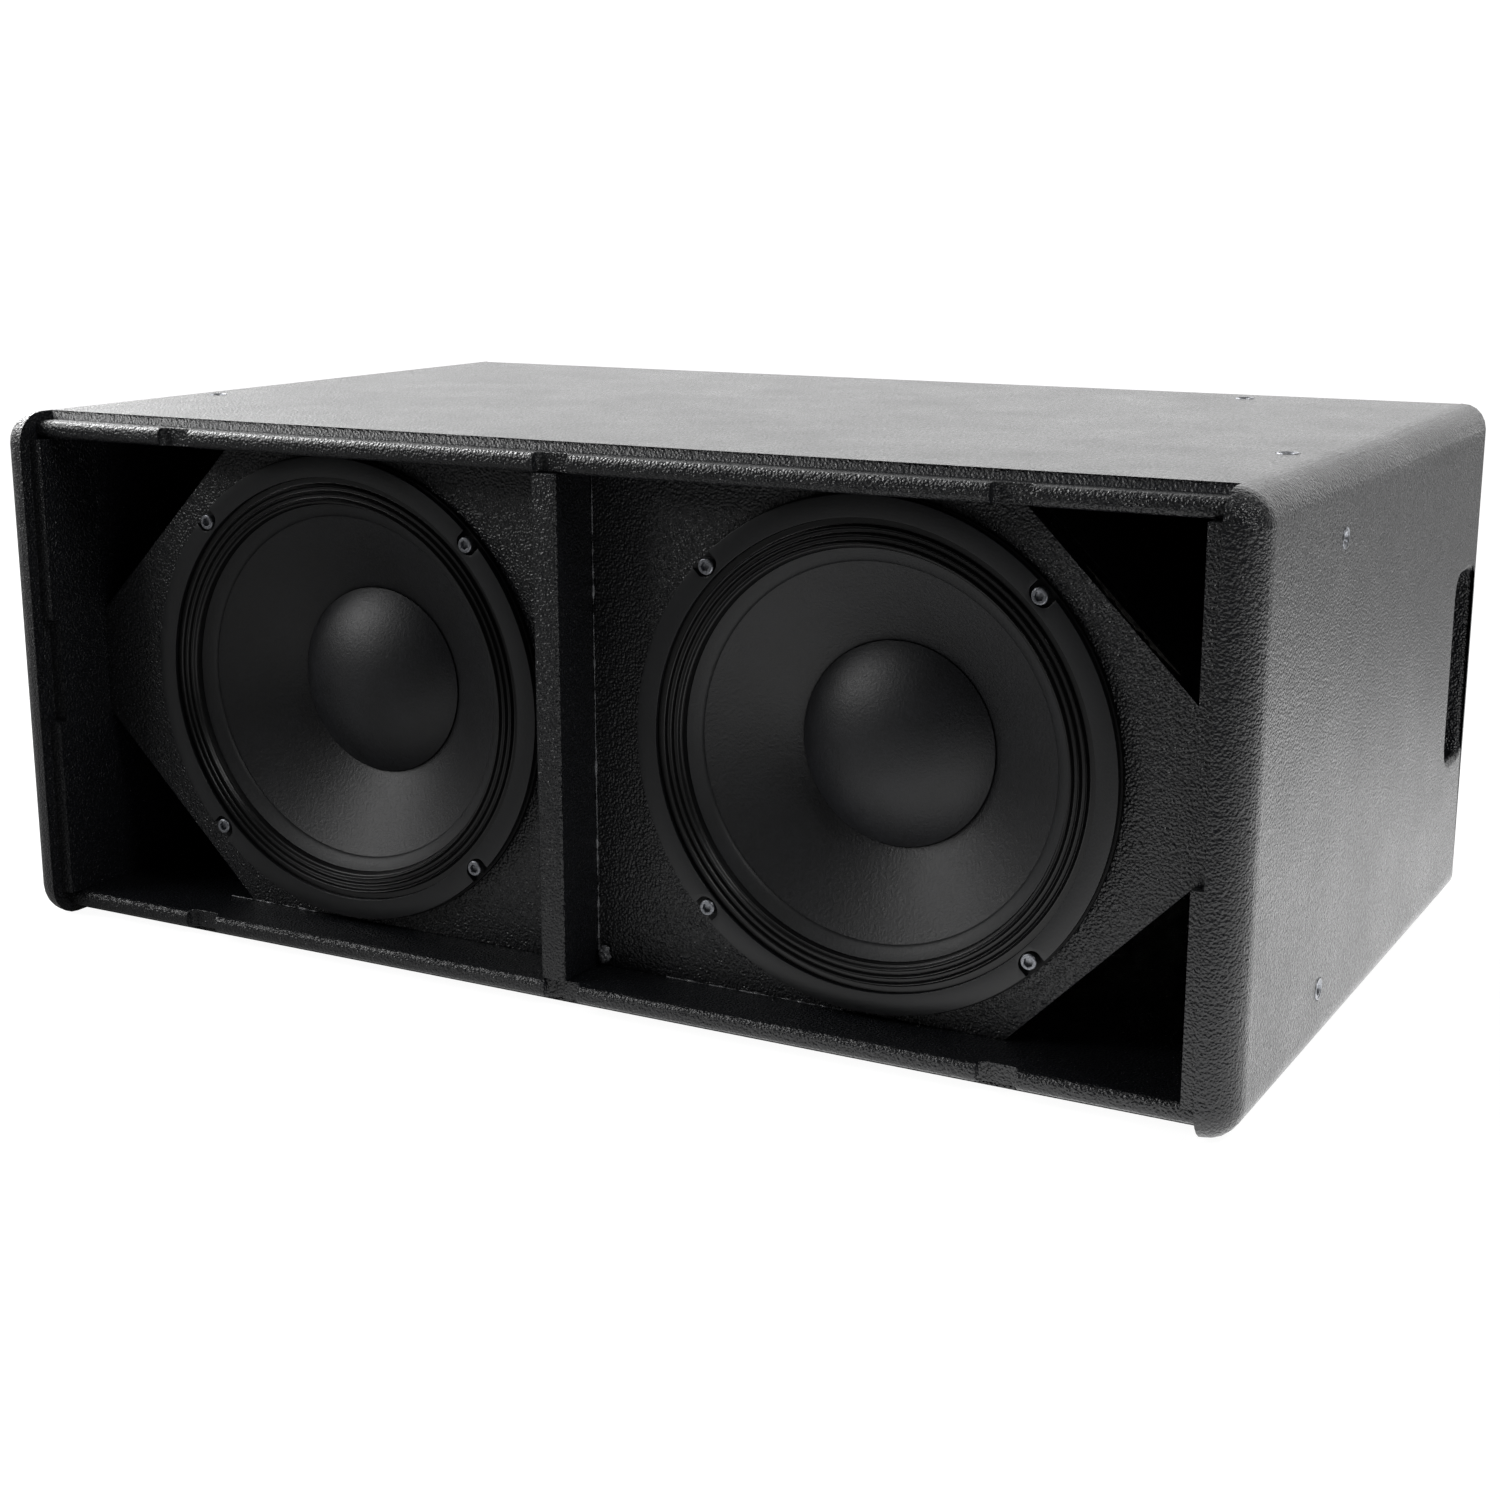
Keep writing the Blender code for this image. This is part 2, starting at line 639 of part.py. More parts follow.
def cone_front(radius):
    """Depth of the cone's front face at a radius: slightly flared."""
    neck = COIL_RADIUS + COIL + GAP
    share = (radius - neck) / (CONE_OUTER - neck)
    straight = CONE_NECK + (CONE_RIM - CONE_NECK) * share
    return straight - CONE_FLARE * math.sin(math.pi * share)


def surround(name, parent):
    """Pleated cloth edge: a strip lapped onto the cone, three ridges, and a glued land."""
    front = GASKET - SURROUND
    first, last = CONE_OUTER - 0.0005, FLANGE_INNER + 0.0012
    lap = CONE_OUTER - CONE_LAP
    ridges = 3
    line = [(lap, cone_front(lap) - SURROUND - 2 * GAP)]
    for k in range(2 * ridges + 1):
        r = first + (last - first) * k / (2 * ridges)
        line.append((r, front - 0.0016 * (k % 2)))
    line.append((GASKET_INNER - GAP, front))
    return smooth(turned(name, thicken(line, SURROUND), DOPED_CLOTH, parent), 60)


def cone(name, parent):
    neck = COIL_RADIUS + COIL + GAP
    steps = 4
    radii = [neck + (CONE_OUTER - neck) * k / steps for k in range(steps + 1)]
    line = [(r, cone_front(r)) for r in radii]
    return smooth(turned(name, thicken(line, CONE), PAPER, parent), 50)


def dust_cap(name, parent):
    """A shallow paper dome glued to the cone."""
    sphere = (CAP_RADIUS ** 2 + CAP_HEIGHT ** 2) / (2 * CAP_HEIGHT)
    spread = math.asin(CAP_RADIUS / sphere)
    seat = cone_front(CAP_RADIUS) - GAP - CAP
    centre = seat - CAP_HEIGHT + sphere
    steps = 4
    outer, inner = [], []
    for k in range(steps + 1):
        a = spread * k / steps
        outer.append((sphere * math.sin(a), centre - sphere * math.cos(a)))
        inner.append(((sphere - CAP) * math.sin(a), centre - (sphere - CAP) * math.cos(a)))
    return smooth(turned(name, inner + outer[::-1], CAP_FELT, parent, closed=False))


def voice_coil(name, parent):
    """Former and winding, one tube that is thicker where the wire is wound."""
    inner, outer = COIL_RADIUS, COIL_RADIUS + COIL
    start = CONE_NECK - 0.004
    profile = [(outer, COIL_END), (outer, start), (inner, start), (inner, COIL_END)]
    return smooth(turned(name, profile, COPPER, parent, steps=HIDDEN_STEPS))


def spider(name, parent):
    """Corrugated cloth disc that centres the voice coil."""
    inner, outer = COIL_RADIUS + COIL + GAP, SHELF_RADIUS - BASKET_WALL - 0.0012
    level = SHELF_FRONT - GAP - 0.0006
    line = []
    steps = 6
    for k in range(steps + 1):
        line.append((inner + (outer - inner) * k / steps, level - 0.0024 * (k % 2)))
    profile = thicken(line, 0.0006)
    return smooth(turned(name, profile, SPIDER_CLOTH, parent, steps=HIDDEN_STEPS), 60)


def magnet_system(side, parent):
    """Front plate, ferrite ring and vented yoke, stacked behind the basket."""
    gap_outer = COIL_RADIUS + COIL + AIR_GAP
    front = BASKET_BACK + GAP
    ring(f"{side}_front_plate", gap_outer, PLATE_RADIUS, front, front + PLATE, ZINC, parent)
    behind = front + PLATE + GAP
    ring(f"{side}_magnet", MAGNET_INNER, MAGNET_OUTER, behind, behind + MAGNET, FERRITE, parent)
    back = behind + MAGNET + GAP
    pole = COIL_RADIUS - AIR_GAP
    profile = [
        (YOKE_RADIUS, back + YOKE), (YOKE_RADIUS, back), (pole, back), (pole, front - 0.001),
        (VENT_RADIUS, front - 0.001), (VENT_RADIUS, back + YOKE),
    ]
    smooth(turned(f"{side}_pole_yoke", profile, ZINC, parent, steps=HIDDEN_STEPS))


def ring(name, inner, outer, low, high, look, parent):
    profile = [(outer, high), (outer, low), (inner, low), (inner, high)]
    return smooth(turned(name, profile, look, parent, steps=HIDDEN_STEPS))


def terminal_place():
    """Where a terminal block stands on a basket's sloping wall, in the driver's frame."""
    run = FLANGE_INNER + BASKET_WALL - SHELF_RADIUS
    rise = SHELF_FRONT + 2 * BASKET_WALL - BASKET_STRAIGHT
    slope = math.atan2(run, rise)
    share = 0.5
    foot = Vector((0, FLANGE_INNER + BASKET_WALL - run * share, BASKET_STRAIGHT + rise * share))
    upwards = Matrix.Rotation(math.pi, 4, "Z")
    return upwards @ Matrix.Translation(foot) @ Matrix.Rotation(slope, 4, "X")


def terminal_block(name, parent):
    """A small fibre block on a spoke, where the leads are joined."""
    tag = block(name, (-0.011, 2 * GAP, -0.009), (0.011, TERMINAL, 0.009), CONNECTOR)
    tag.parent = parent
    tag.matrix_local = terminal_place()
    return tag


def driver(side, x, screw_mesh):
    """One driver. Its frame sits on its axis at the gasket's face, with +Z going back."""
    frame = bpy.data.objects.new(f"{side}_driver_axis", None)
    PARTS.objects.link(frame)
    frame.matrix_world = Matrix.Translation((x, at(DRIVER_FACE_AT), MIDDLE)) @ BACKWARD
    gasket_ring(f"{side}_gasket_ring", frame)
    basket(f"{side}_basket", frame)
    surround(f"{side}_surround", frame)
    cone(f"{side}_cone", frame)
    dust_cap(f"{side}_dust_cap", frame)
    voice_coil(f"{side}_voice_coil", frame)
    spider(f"{side}_spider", frame)
    magnet_system(side, frame)
    terminal_block(f"{side}_terminal_block", frame)
    for i, angle in enumerate(screw_angles()):
        spot = (SCREW_CIRCLE * math.cos(angle), SCREW_CIRCLE * math.sin(angle), GASKET)
        add(f"{side}_driver_screw_{i + 1}", screw_mesh, place=Matrix.Translation(spot), parent=frame)
    return frame


# ------------------------------------------------------------------ rear input plate


def input_screw_centres():
    reach = (INPUT_WIDTH / 2 - INPUT_OVERLAP / 2, INPUT_HEIGHT / 2 - INPUT_OVERLAP / 2)
    return [
        (INPUT_AT_X + sx * reach[0], MIDDLE + sz * reach[1]) for sx in (-1, 1) for sz in (-1, 1)
    ]


def socket_centres():
    return {
        "input_socket": INPUT_AT_X - SOCKET_SPACING / 2,
        "link_socket": INPUT_AT_X + SOCKET_SPACING / 2,
    }


def plate_front():
    return REAR_AT + REAR_PANEL + GAP


def input_plate():
    half = (INPUT_WIDTH / 2, INPUT_HEIGHT / 2)
    outline = rectangle((INPUT_AT_X - half[0], MIDDLE - half[1]),
                        (INPUT_AT_X + half[0], MIDDLE + half[1]), 0.004)
    holes = [circle(SCREW_HOLE, c, SMALL_STEPS) for c in input_screw_centres()]
    holes += [circle(SOCKET_OUTER + GAP, (x, MIDDLE), HIDDEN_STEPS) for x in socket_centres().values()]
    place = place_plane((1, 0, 0), (0, 0, 1), (0, at(plate_front() + INPUT_PLATE / 2), 0))
    return plate("input_plate", [outline, *holes], INPUT_PLATE, place, BASKET_COAT)


def socket_mouth():
    return plate_front() + INPUT_PLATE + GAP + SOCKET_FLANGE_THICK


def speaker_socket(name, x):
    """A round twist-lock socket: flange, barrel closed at its inner end, and centre post."""
    half = SOCKET_FLANGE / 2
    place = Matrix.Translation((x, at(socket_mouth()), MIDDLE)) @ BACKWARD
    wall = SOCKET_OUTER - SOCKET_INNER
    floor = -SOCKET_DEPTH
    profile = [
        (0, -0.002), (SOCKET_POST, -0.002), (SOCKET_POST, floor + wall),
        (SOCKET_INNER, floor + wall), (SOCKET_INNER, -SOCKET_FLANGE_THICK / 2),
        (SOCKET_OUTER, -SOCKET_FLANGE_THICK / 2), (SOCKET_OUTER, floor), (0, floor),
    ]
    barrel = turned(name, profile, CONNECTOR, place=place, steps=HIDDEN_STEPS, closed=False)
    barrel = baked(barrel)
    flange = plate("socket_flange", [rectangle((-half, -half), (half, half), 0.004),
                                     circle(SOCKET_INNER, steps=HIDDEN_STEPS)],
                   SOCKET_FLANGE_THICK, place @ Matrix.Translation((0, 0, -SOCKET_FLANGE_THICK / 2)),
                   into=CUTTERS)
    flange.hide_render = True
    flange.display_type = "WIRE"
    join = barrel.modifiers.new("join", "BOOLEAN")
    join.operation = "UNION"
    join.object = flange
    return smooth(baked(barrel))


def input_screws(screw_mesh):
    seat = plate_front() + INPUT_PLATE
    turn = Matrix.Rotation(math.pi / 2, 4, "X")
    short = screw_mesh.copy()
    share = 0.5
    short.transform(Matrix.Diagonal((1, 1, share, 1)))
    for i, (x, z) in enumerate(input_screw_centres()):
        place = Matrix.Translation((x, at(seat), z)) @ turn
        add(f"input_screw_{i + 1}", short, place=place @ Matrix.Translation((0, 0, -GAP)))


def soft_path(stations, steps):
    """Points of a curve through stations, each a position and the direction it is passed in."""
    points = [stations[0][0]]
    for (a, da), (b, db) in zip(stations, stations[1:]):
        for k in range(1, steps + 1):
            t = k / steps
            rise = t * t * (3 - 2 * t)
            points.append(a * (1 - rise) + b * rise + da * t * (1 - t) ** 2 - db * t * t * (1 - t))
    return points


def internal_lead(name, x_socket, centre_x):
    """A lead that bends from the back of a socket to a driver's terminals."""
    tag = Matrix.Translation((centre_x, at(DRIVER_FACE_AT), MIDDLE)) @ BACKWARD @ terminal_place()
    away = (tag.to_3x3() @ Vector((0, 1, 0))).normalized()
    end = tag @ Vector((0, TERMINAL, 0)) + away * 2 * GAP
    start = Vector((x_socket, at(socket_mouth() - SOCKET_DEPTH - 2 * GAP), MIDDLE))
    ahead = Vector((0, -1, 0))
    stub = 0.004
    stations = [(start + stub * ahead, 0.2 * ahead), (end + stub * away, -0.12 * away)]
    if centre_x < 0:
        middle = Vector((0, at((BAFFLE_AT + BAFFLE + REAR_AT) / 2), MIDDLE + 0.1 * HEIGHT))
        stations.insert(1, (middle, Vector((-0.2, -0.1, 0.02))))
    points = [start, *soft_path(stations, 12), end]
    curve = bpy.data.curves.new(name, "CURVE")
    curve.dimensions = "3D"
    curve.bevel_depth = LEAD_RADIUS
    curve.bevel_resolution = 2
    curve.use_fill_caps = True
    spline = curve.splines.new("POLY")
    spline.points.add(len(points) - 1)
    for point, spot in zip(spline.points, points):
        point.co = (*spot, 1)
    return add(name, curve, LEAD_PVC)


# ------------------------------------------------------------------ assembly


def build():
    side_panel("right_side_panel", 1)
    side_panel("left_side_panel", -1)
    half = TOP_INSERT_SPACING / 2
    top_bores = {
        "top_insert_front_left": (-half, TOP_INSERT_AT),
        "top_insert_front_right": (half, TOP_INSERT_AT),
        "top_insert_rear": (REAR_INSERT_OFFSET, REAR_INSERT_AT),
    }
    lipped_panel("top_panel", False, list(top_bores.values()))
    lipped_panel("bottom_panel", True, [])
    rear_panel()
    baffle()
    front_divider()
    centre_brace()
    for side, sign in (("left", -1), ("right", 1)):
        for level in ("top", "bottom"):
            port_board(f"{side}_{level}_port_board", sign, level == "top")
        handle_cup(f"{side}_handle_cup", sign)
        for level, dz in (("lower", -1), ("upper", 1)):
            spot = (sign * WIDTH / 2, at(SIDE_INSERT_AT), MIDDLE + dz * SIDE_INSERT_SPACING / 2)
            outward = Matrix.Rotation(sign * math.pi / 2, 4, "Y")
            threaded_insert(f"{side}_{level}_insert", Matrix.Translation(spot) @ outward)
    for name, (x, depth) in top_bores.items():
        threaded_insert(name, Matrix.Translation((x, at(depth), HEIGHT)))
    screw_mesh = socket_screw_mesh()
    for side, x in driver_centres().items():
        driver(side, x, screw_mesh)
    input_plate()
    for name, x in socket_centres().items():
        speaker_socket(name, x)
    input_screws(screw_mesh)
    for side, x_socket in zip(("left", "right"), socket_centres().values()):
        internal_lead(f"{side}_lead", x_socket, driver_centres()[side])


build()
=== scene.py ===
# %% [markdown]
# A compact bass loudspeaker cabinet that lies on its long side with its grille taken off. The
# solid model comes in as a fixed frame: every piece below takes its place and size from there,
# and most ride on one of the frame's bodies; the surround, the spider and the solids that keep
# their own mesh ride on none. Finer pieces then stand in for the coarse solids.

# %% Load the frame
import math

import bmesh
import bpy
from mathutils import Matrix, Vector, noise


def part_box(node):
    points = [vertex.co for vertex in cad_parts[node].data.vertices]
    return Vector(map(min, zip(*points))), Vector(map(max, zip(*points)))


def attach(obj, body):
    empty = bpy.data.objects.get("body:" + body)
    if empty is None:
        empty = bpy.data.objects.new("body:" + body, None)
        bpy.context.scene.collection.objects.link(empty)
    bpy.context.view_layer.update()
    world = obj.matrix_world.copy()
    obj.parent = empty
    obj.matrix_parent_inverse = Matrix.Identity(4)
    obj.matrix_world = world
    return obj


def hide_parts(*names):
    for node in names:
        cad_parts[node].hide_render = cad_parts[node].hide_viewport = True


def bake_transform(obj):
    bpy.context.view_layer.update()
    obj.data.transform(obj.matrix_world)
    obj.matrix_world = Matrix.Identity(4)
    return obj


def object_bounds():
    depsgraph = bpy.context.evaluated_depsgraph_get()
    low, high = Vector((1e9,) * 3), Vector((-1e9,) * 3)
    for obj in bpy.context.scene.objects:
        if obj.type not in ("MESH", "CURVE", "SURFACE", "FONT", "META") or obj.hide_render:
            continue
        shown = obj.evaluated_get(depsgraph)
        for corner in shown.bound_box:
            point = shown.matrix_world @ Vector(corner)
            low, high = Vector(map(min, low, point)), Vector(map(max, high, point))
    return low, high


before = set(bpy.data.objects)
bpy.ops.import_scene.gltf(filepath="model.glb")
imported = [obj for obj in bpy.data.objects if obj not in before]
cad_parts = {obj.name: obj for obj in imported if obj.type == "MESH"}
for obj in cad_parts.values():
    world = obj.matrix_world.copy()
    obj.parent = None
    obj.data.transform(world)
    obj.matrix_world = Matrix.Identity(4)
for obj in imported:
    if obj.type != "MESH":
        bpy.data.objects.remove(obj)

cad_low, cad_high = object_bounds()
print("cabinet", [round(1000 * (b - a)) for a, b in zip(cad_low, cad_high)], "mm")

# %% [markdown]
# The camera stands to the right of the cabinet and a little above it. A 55 mm lens from about
# a metre and a half gives the strong perspective of a product shot taken close by. Colours are
# shown as they are, without a film look, so that the paint can be judged.

# %% Camera
CAMERA_PLACE, CAMERA_TURN = (0.6447, -1.1794, 0.4245), (1.331, 0.0, 0.503)
LENS, SENSOR = 55.22, 36.0  # millimetres
camera = bpy.data.objects.new("camera", bpy.data.cameras.new("camera"))
bpy.context.scene.collection.objects.link(camera)
camera.location = CAMERA_PLACE
camera.rotation_euler = CAMERA_TURN
camera.data.lens = LENS
camera.data.sensor_width = SENSOR
bpy.context.scene.camera = camera
bpy.context.scene.view_settings.view_transform = "Standard"
print("camera to cabinet", round((camera.location - (cad_low + cad_high) / 2).length, 2), "m")


# %% [markdown]
# Materials are built from nodes. One function adds a node, sets what it is given and links what
# is a socket. Colours are written as the hex values that a designer would read off a swatch,
# and one function turns those into the linear values that a shader needs.

# %% Helpers for materials
def linear(swatch, alpha=1.0):
    parts = [int(swatch[i:i + 2], 16) / 255 for i in (1, 3, 5)]
    light = [c / 12.92 if c <= 0.04045 else ((c + 0.055) / 1.055) ** 2.4 for c in parts]
    return (*light, alpha)


def add_node(tree, kind, sockets=None, **settings):
    made = tree.nodes.new(kind)
    for name, value in settings.items():
        setattr(made, name, value)
    for name, value in (sockets or {}).items():
        if isinstance(value, bpy.types.NodeSocket):
            tree.links.new(value, made.inputs[name])
        else:
            made.inputs[name].default_value = value
    return made


def new_finish(name, **constants):
    """A material, its node tree and its shader. Constants go straight onto the shader."""
    made = bpy.data.materials.new(name)
    made.use_nodes = True
    tree = made.node_tree
    shader = tree.nodes["Principled BSDF"]
    for key, value in constants.items():
        shader.inputs[key.replace("_", " ")].default_value = value
    return made, tree, shader


def per_metre(millimetres):
    """A texture scale that repeats about once in this many millimetres."""
    return 1000.0 / millimetres


def spread(tree, value, low, high):
    """Maps a 0 to 1 pattern onto a range."""
    return add_node(tree, "ShaderNodeMapRange", {"Value": value, "To Min": low, "To Max": high})


def tint(tree, value, stops):
    """Colours a 0 to 1 pattern with swatches at given places."""
    ramp = add_node(tree, "ShaderNodeValToRGB", {"Fac": value})
    for _ in range(len(stops) - 2):
        ramp.color_ramp.elements.new(0.5)
    for element, (place, swatch) in zip(ramp.color_ramp.elements, stops):
        element.position = place
        element.color = linear(swatch)
    return ramp.outputs["Color"]


# %% [markdown]
# The studio: a white backdrop behind the cabinet and a white floor that fades into it. Black
# paint shows mostly what it mirrors. The backdrop is brightest to the left of the view, which
# lights the top at a low angle; the floor glows beside the right side; in front of the cabinet
# floor and room are dark, so the front stays black. A soft box to the left of the front puts the
# highlights on cones and dust caps, one to the far left runs along the lips' rounded edges, a
# small one to the right picks out corners, and a weak one overhead keeps the shadows open.

# %% Studio
def studio_world():
    world = bpy.data.worlds.new("studio")
    bpy.context.scene.world = world
    world.use_nodes = True
    tree = world.node_tree
    seen = add_node(tree, "ShaderNodeTexCoord").outputs["Generated"]
    towards = add_node(tree, "ShaderNodeVectorMath", {0: seen, 1: BACKDROP_SIDE},
                       operation="DOT_PRODUCT")
    behind = add_node(tree, "ShaderNodeMapRange", {
        "Value": towards.outputs["Value"], "From Min": 0.2, "From Max": 0.9,
        "To Min": ROOM_LIGHT, "To Max": BACKDROP_LIGHT}, interpolation_type="SMOOTHSTEP")
    tree.links.new(behind.outputs["Result"], tree.nodes["Background"].inputs["Strength"])
    tree.nodes["Background"].inputs["Color"].default_value = linear("#ffffff")


def soft_box(name, place, target, size, watts):
    lamp = bpy.data.lights.new(name, "AREA")
    lamp.shape = "RECTANGLE"
    lamp.size, lamp.size_y = size
    lamp.energy = watts
    obj = bpy.data.objects.new(name, lamp)
    bpy.context.scene.collection.objects.link(obj)
    obj.location = place
    obj.rotation_euler = (Vector(target) - Vector(place)).to_track_quat("-Z", "Y").to_euler()


def floor_glow(tree):
    """What the floor gives to the cabinet: a pool beside its right side, and a pale far end."""
    place = add_node(tree, "ShaderNodeTexCoord").outputs["Object"]
    gap = add_node(tree, "ShaderNodeVectorMath", {0: place, 1: GLOW_CENTRE}, operation="DISTANCE")
    pool = add_node(tree, "ShaderNodeMapRange", {
        "Value": gap.outputs["Value"], "From Min": 0.1, "From Max": 1.1,
        "To Min": GLOW_POOL, "To Max": 0.0}, interpolation_type="SMOOTHSTEP")
    far = add_node(tree, "ShaderNodeVectorMath", {0: place, 1: (0.45, 0.9, 0.0)},
                   operation="DOT_PRODUCT")
    end = add_node(tree, "ShaderNodeMapRange", {
        "Value": far.outputs["Value"], "From Min": -0.4, "From Max": 1.2,
        "To Min": FLOOR_DARK, "To Max": FLOOR_FAR}, interpolation_type="SMOOTHSTEP")
    return add_node(tree, "ShaderNodeMath", {
        0: pool.outputs["Result"], 1: end.outputs["Result"]}, operation="ADD").outputs["Value"]


def studio_floor():
    shape = bmesh.new()
    bmesh.ops.create_grid(shape, x_segments=1, y_segments=1, size=12.0)
    mesh = bpy.data.meshes.new("floor")
    shape.to_mesh(mesh)
    shape.free()
    floor = bpy.data.objects.new("floor", mesh)
    bpy.context.scene.collection.objects.link(floor)
    floor.location.z = cad_low.z - 0.0002
    look, tree, shader = new_finish("white_studio_floor", Roughness=0.9)
    shader.inputs["Base Color"].default_value = linear("#6a6a6a")
    shader.inputs["Emission Color"].default_value = linear("#ffffff")
    ray = add_node(tree, "ShaderNodeLightPath").outputs["Is Camera Ray"]
    glow = add_node(tree, "ShaderNodeMix", {
        "Factor": ray, "A": floor_glow(tree), "B": FLOOR_SEEN}, data_type="FLOAT")
    tree.links.new(glow.outputs["Result"], shader.inputs["Emission Strength"])
    mesh.materials.append(look)


BACKDROP_SIDE = (-0.55, 0.83, 0.0)
ROOM_LIGHT, BACKDROP_LIGHT = 0.045, 1.75
GLOW_CENTRE, GLOW_POOL = (0.62, 0.05, 0.0), 1.85
FLOOR_DARK, FLOOR_FAR, FLOOR_SEEN = 0.02, 0.45, 0.95
studio_world()
studio_floor()
soft_box("front_soft_box", (-1.45, -1.15, 1.15), (0, -0.1, 0.15), (0.8, 0.8), 17)
soft_box("right_soft_box", (1.5, -0.5, 1.6), (0.2, -0.1, 0.25), (0.6, 0.6), 16)
soft_box("top_soft_box", (-0.9, -0.9, 2.4), (0, -0.1, 0.15), (1.6, 1.2), 6)
soft_box("left_soft_box", (-1.9, 0.3, 1.4), (-0.1, -0.1, 0.3), (1.4, 1.0), 55)
print("studio lit")


# %% [markdown]
# The cabinet is sprayed with a thick black polyurethane paint that dries to a pebbled skin. The
# pebbles are a little over a millimetre across and satin on top, so the light breaks up into
# fine grains on every face. A noise and a cell pattern make the pebbles, a wide noise makes the
# sheen uneven, and the bump's depth is what a finger would feel, about half a millimetre.

# %% Paint
def pebbled_paint(name, dark, light, depth, shine):
    """Sprayed polyurethane: shine is the least and most roughness."""
    look, tree, shader = new_finish(name, IOR=1.5)
    place = add_node(tree, "ShaderNodeTexCoord").outputs["Object"]
    pebbles = add_node(tree, "ShaderNodeTexNoise", {
        "Vector": place, "Scale": per_metre(1.15), "Detail": 1.0, "Roughness": 0.5})
    grit = add_node(tree, "ShaderNodeTexVoronoi", {
        "Vector": place, "Scale": per_metre(1.5), "Smoothness": 0.3}, feature="SMOOTH_F1")
    cloud = add_node(tree, "ShaderNodeTexNoise", {
        "Vector": place, "Scale": per_metre(45), "Detail": 3.0})
    height = add_node(tree, "ShaderNodeMath", {
        0: pebbles.outputs["Fac"], 1: grit.outputs["Distance"]}, operation="SUBTRACT")
    bump = add_node(tree, "ShaderNodeBump", {
        "Height": height.outputs["Value"], "Strength": 1.0, "Distance": depth})
    colour = tint(tree, pebbles.outputs["Fac"], ((0.35, dark), (0.65, light)))
    even = spread(tree, cloud.outputs["Fac"], *shine)
    grain = spread(tree, pebbles.outputs["Fac"], 0.16, -0.16)
    sheen = add_node(tree, "ShaderNodeMath", {
        0: even.outputs["Result"], 1: grain.outputs["Result"]}, operation="ADD", use_clamp=True)
    tree.links.new(colour, shader.inputs["Base Color"])
    tree.links.new(sheen.outputs["Value"], shader.inputs["Roughness"])
    tree.links.new(bump.outputs["Normal"], shader.inputs["Normal"])
    return look


cabinet_paint = pebbled_paint("pebbled_polyurethane_paint", "#060708", "#121317", 0.0005,
                              (0.26, 0.38))
inner_paint = pebbled_paint("thin_inner_paint", "#0c0d0e", "#141517", 0.0004, (0.5, 0.66))
print("paint mixed")


# %% [markdown]
# Panels keep the shape of the solids. A copy of a solid's triangles is merged, its flat faces
# are made whole again, and its sharp edges get the small round that paint gives to plywood.
# Where a top or bottom board runs flush into a side panel, paint hides the joint: there the
# board is made to meet the side and its edge stays sharp.

# %% Helpers for shapes
def merged_copy(node):
    """The node's own triangles as one closed mesh with whole flat faces."""
    shape = bmesh.new()
    shape.from_mesh(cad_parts[node].data)
    bmesh.ops.remove_doubles(shape, verts=shape.verts, dist=2e-6)
    bmesh.ops.dissolve_limit(shape, angle_limit=math.radians(0.5), verts=shape.verts,
                             edges=shape.edges, delimit=set())
    return shape


def soften(shape, width, segments=2, least=35.0, leave=None):
    """Rounds every edge sharper than least degrees, but for those that leave() names."""
    sharp = [
        e for e in shape.edges
        if e.is_manifold and e.calc_face_angle() > math.radians(least)
        and not (leave and leave(*(v.co for v in e.verts)))
    ]
    bmesh.ops.bevel(shape, geom=sharp, offset=width, offset_type="OFFSET", segments=segments,
                    profile=0.5, affect="EDGES", clamp_overlap=True, material=-1)
    return shape


def finished(name, shape, look, body, stands_for=(), crease=50.0, flat=False):
    """Turns a bmesh into a smooth-shaded piece that rides on a body."""
    mesh = bpy.data.meshes.new(name)
    shape.to_mesh(mesh)
    shape.free()
    mesh.shade_smooth()
    mesh.set_sharp_from_angle(angle=math.radians(crease))
    mesh.materials.append(look)
    piece = bpy.data.objects.new(name, mesh)
    bpy.context.scene.collection.objects.link(piece)
    if flat:  # large faces set the shading, so that narrow rounds don't tint them
        even = piece.modifiers.new("even_shading", "WEIGHTED_NORMAL")
        even.keep_sharp = True
    if body:
        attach(piece, body)
    if stands_for:
        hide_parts(*stands_for)
    print(name, len(mesh.polygons), "faces")
    return piece


# %% Side panels, top, bottom, baffle, divider and rear panel
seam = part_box("top_panel")[1].x  # where the top board meets the right side panel
joint_gap = 0.0003


def on_flush_seam(a, b):
    """An edge of the joint that paint covers, on the top or the bottom face."""
    level = {round(a.z, 4), round(b.z, 4)}
    near = all(abs(abs(p.x) - seam) < 0.0006 for p in (a, b))
    return near and level <= {round(cad_low.z, 4), round(cad_high.z, 4)}


def at_board_end(a, b):
    return all(abs(abs(p.x) - seam) < 0.0008 for p in (a, b))


def reach_the_sides(shape):
    for vert in shape.verts:
        if abs(abs(vert.co.x) - seam) < 0.0005:
            vert.co.x += math.copysign(joint_gap * 1.05, vert.co.x)


for side in ("left", "right"):
    panel = soften(merged_copy(f"{side}_side_panel"), 0.0009, leave=on_flush_seam)
    finished(f"painted_{side}_side", panel, cabinet_paint, "cabinet",
             (f"{side}_side_panel",), flat=True)
for level in ("top", "bottom"):
    board = merged_copy(f"{level}_panel")
    reach_the_sides(board)
    soften(board, 0.0008, leave=at_board_end)
    finished(f"painted_{level}", board, cabinet_paint, "cabinet",
             (f"{level}_panel",), flat=True)
for node in ("baffle", "front_divider", "rear_panel"):
    finished(f"painted_{node}", soften(merged_copy(node), 0.0008), cabinet_paint, "cabinet",
             (node,), flat=True)


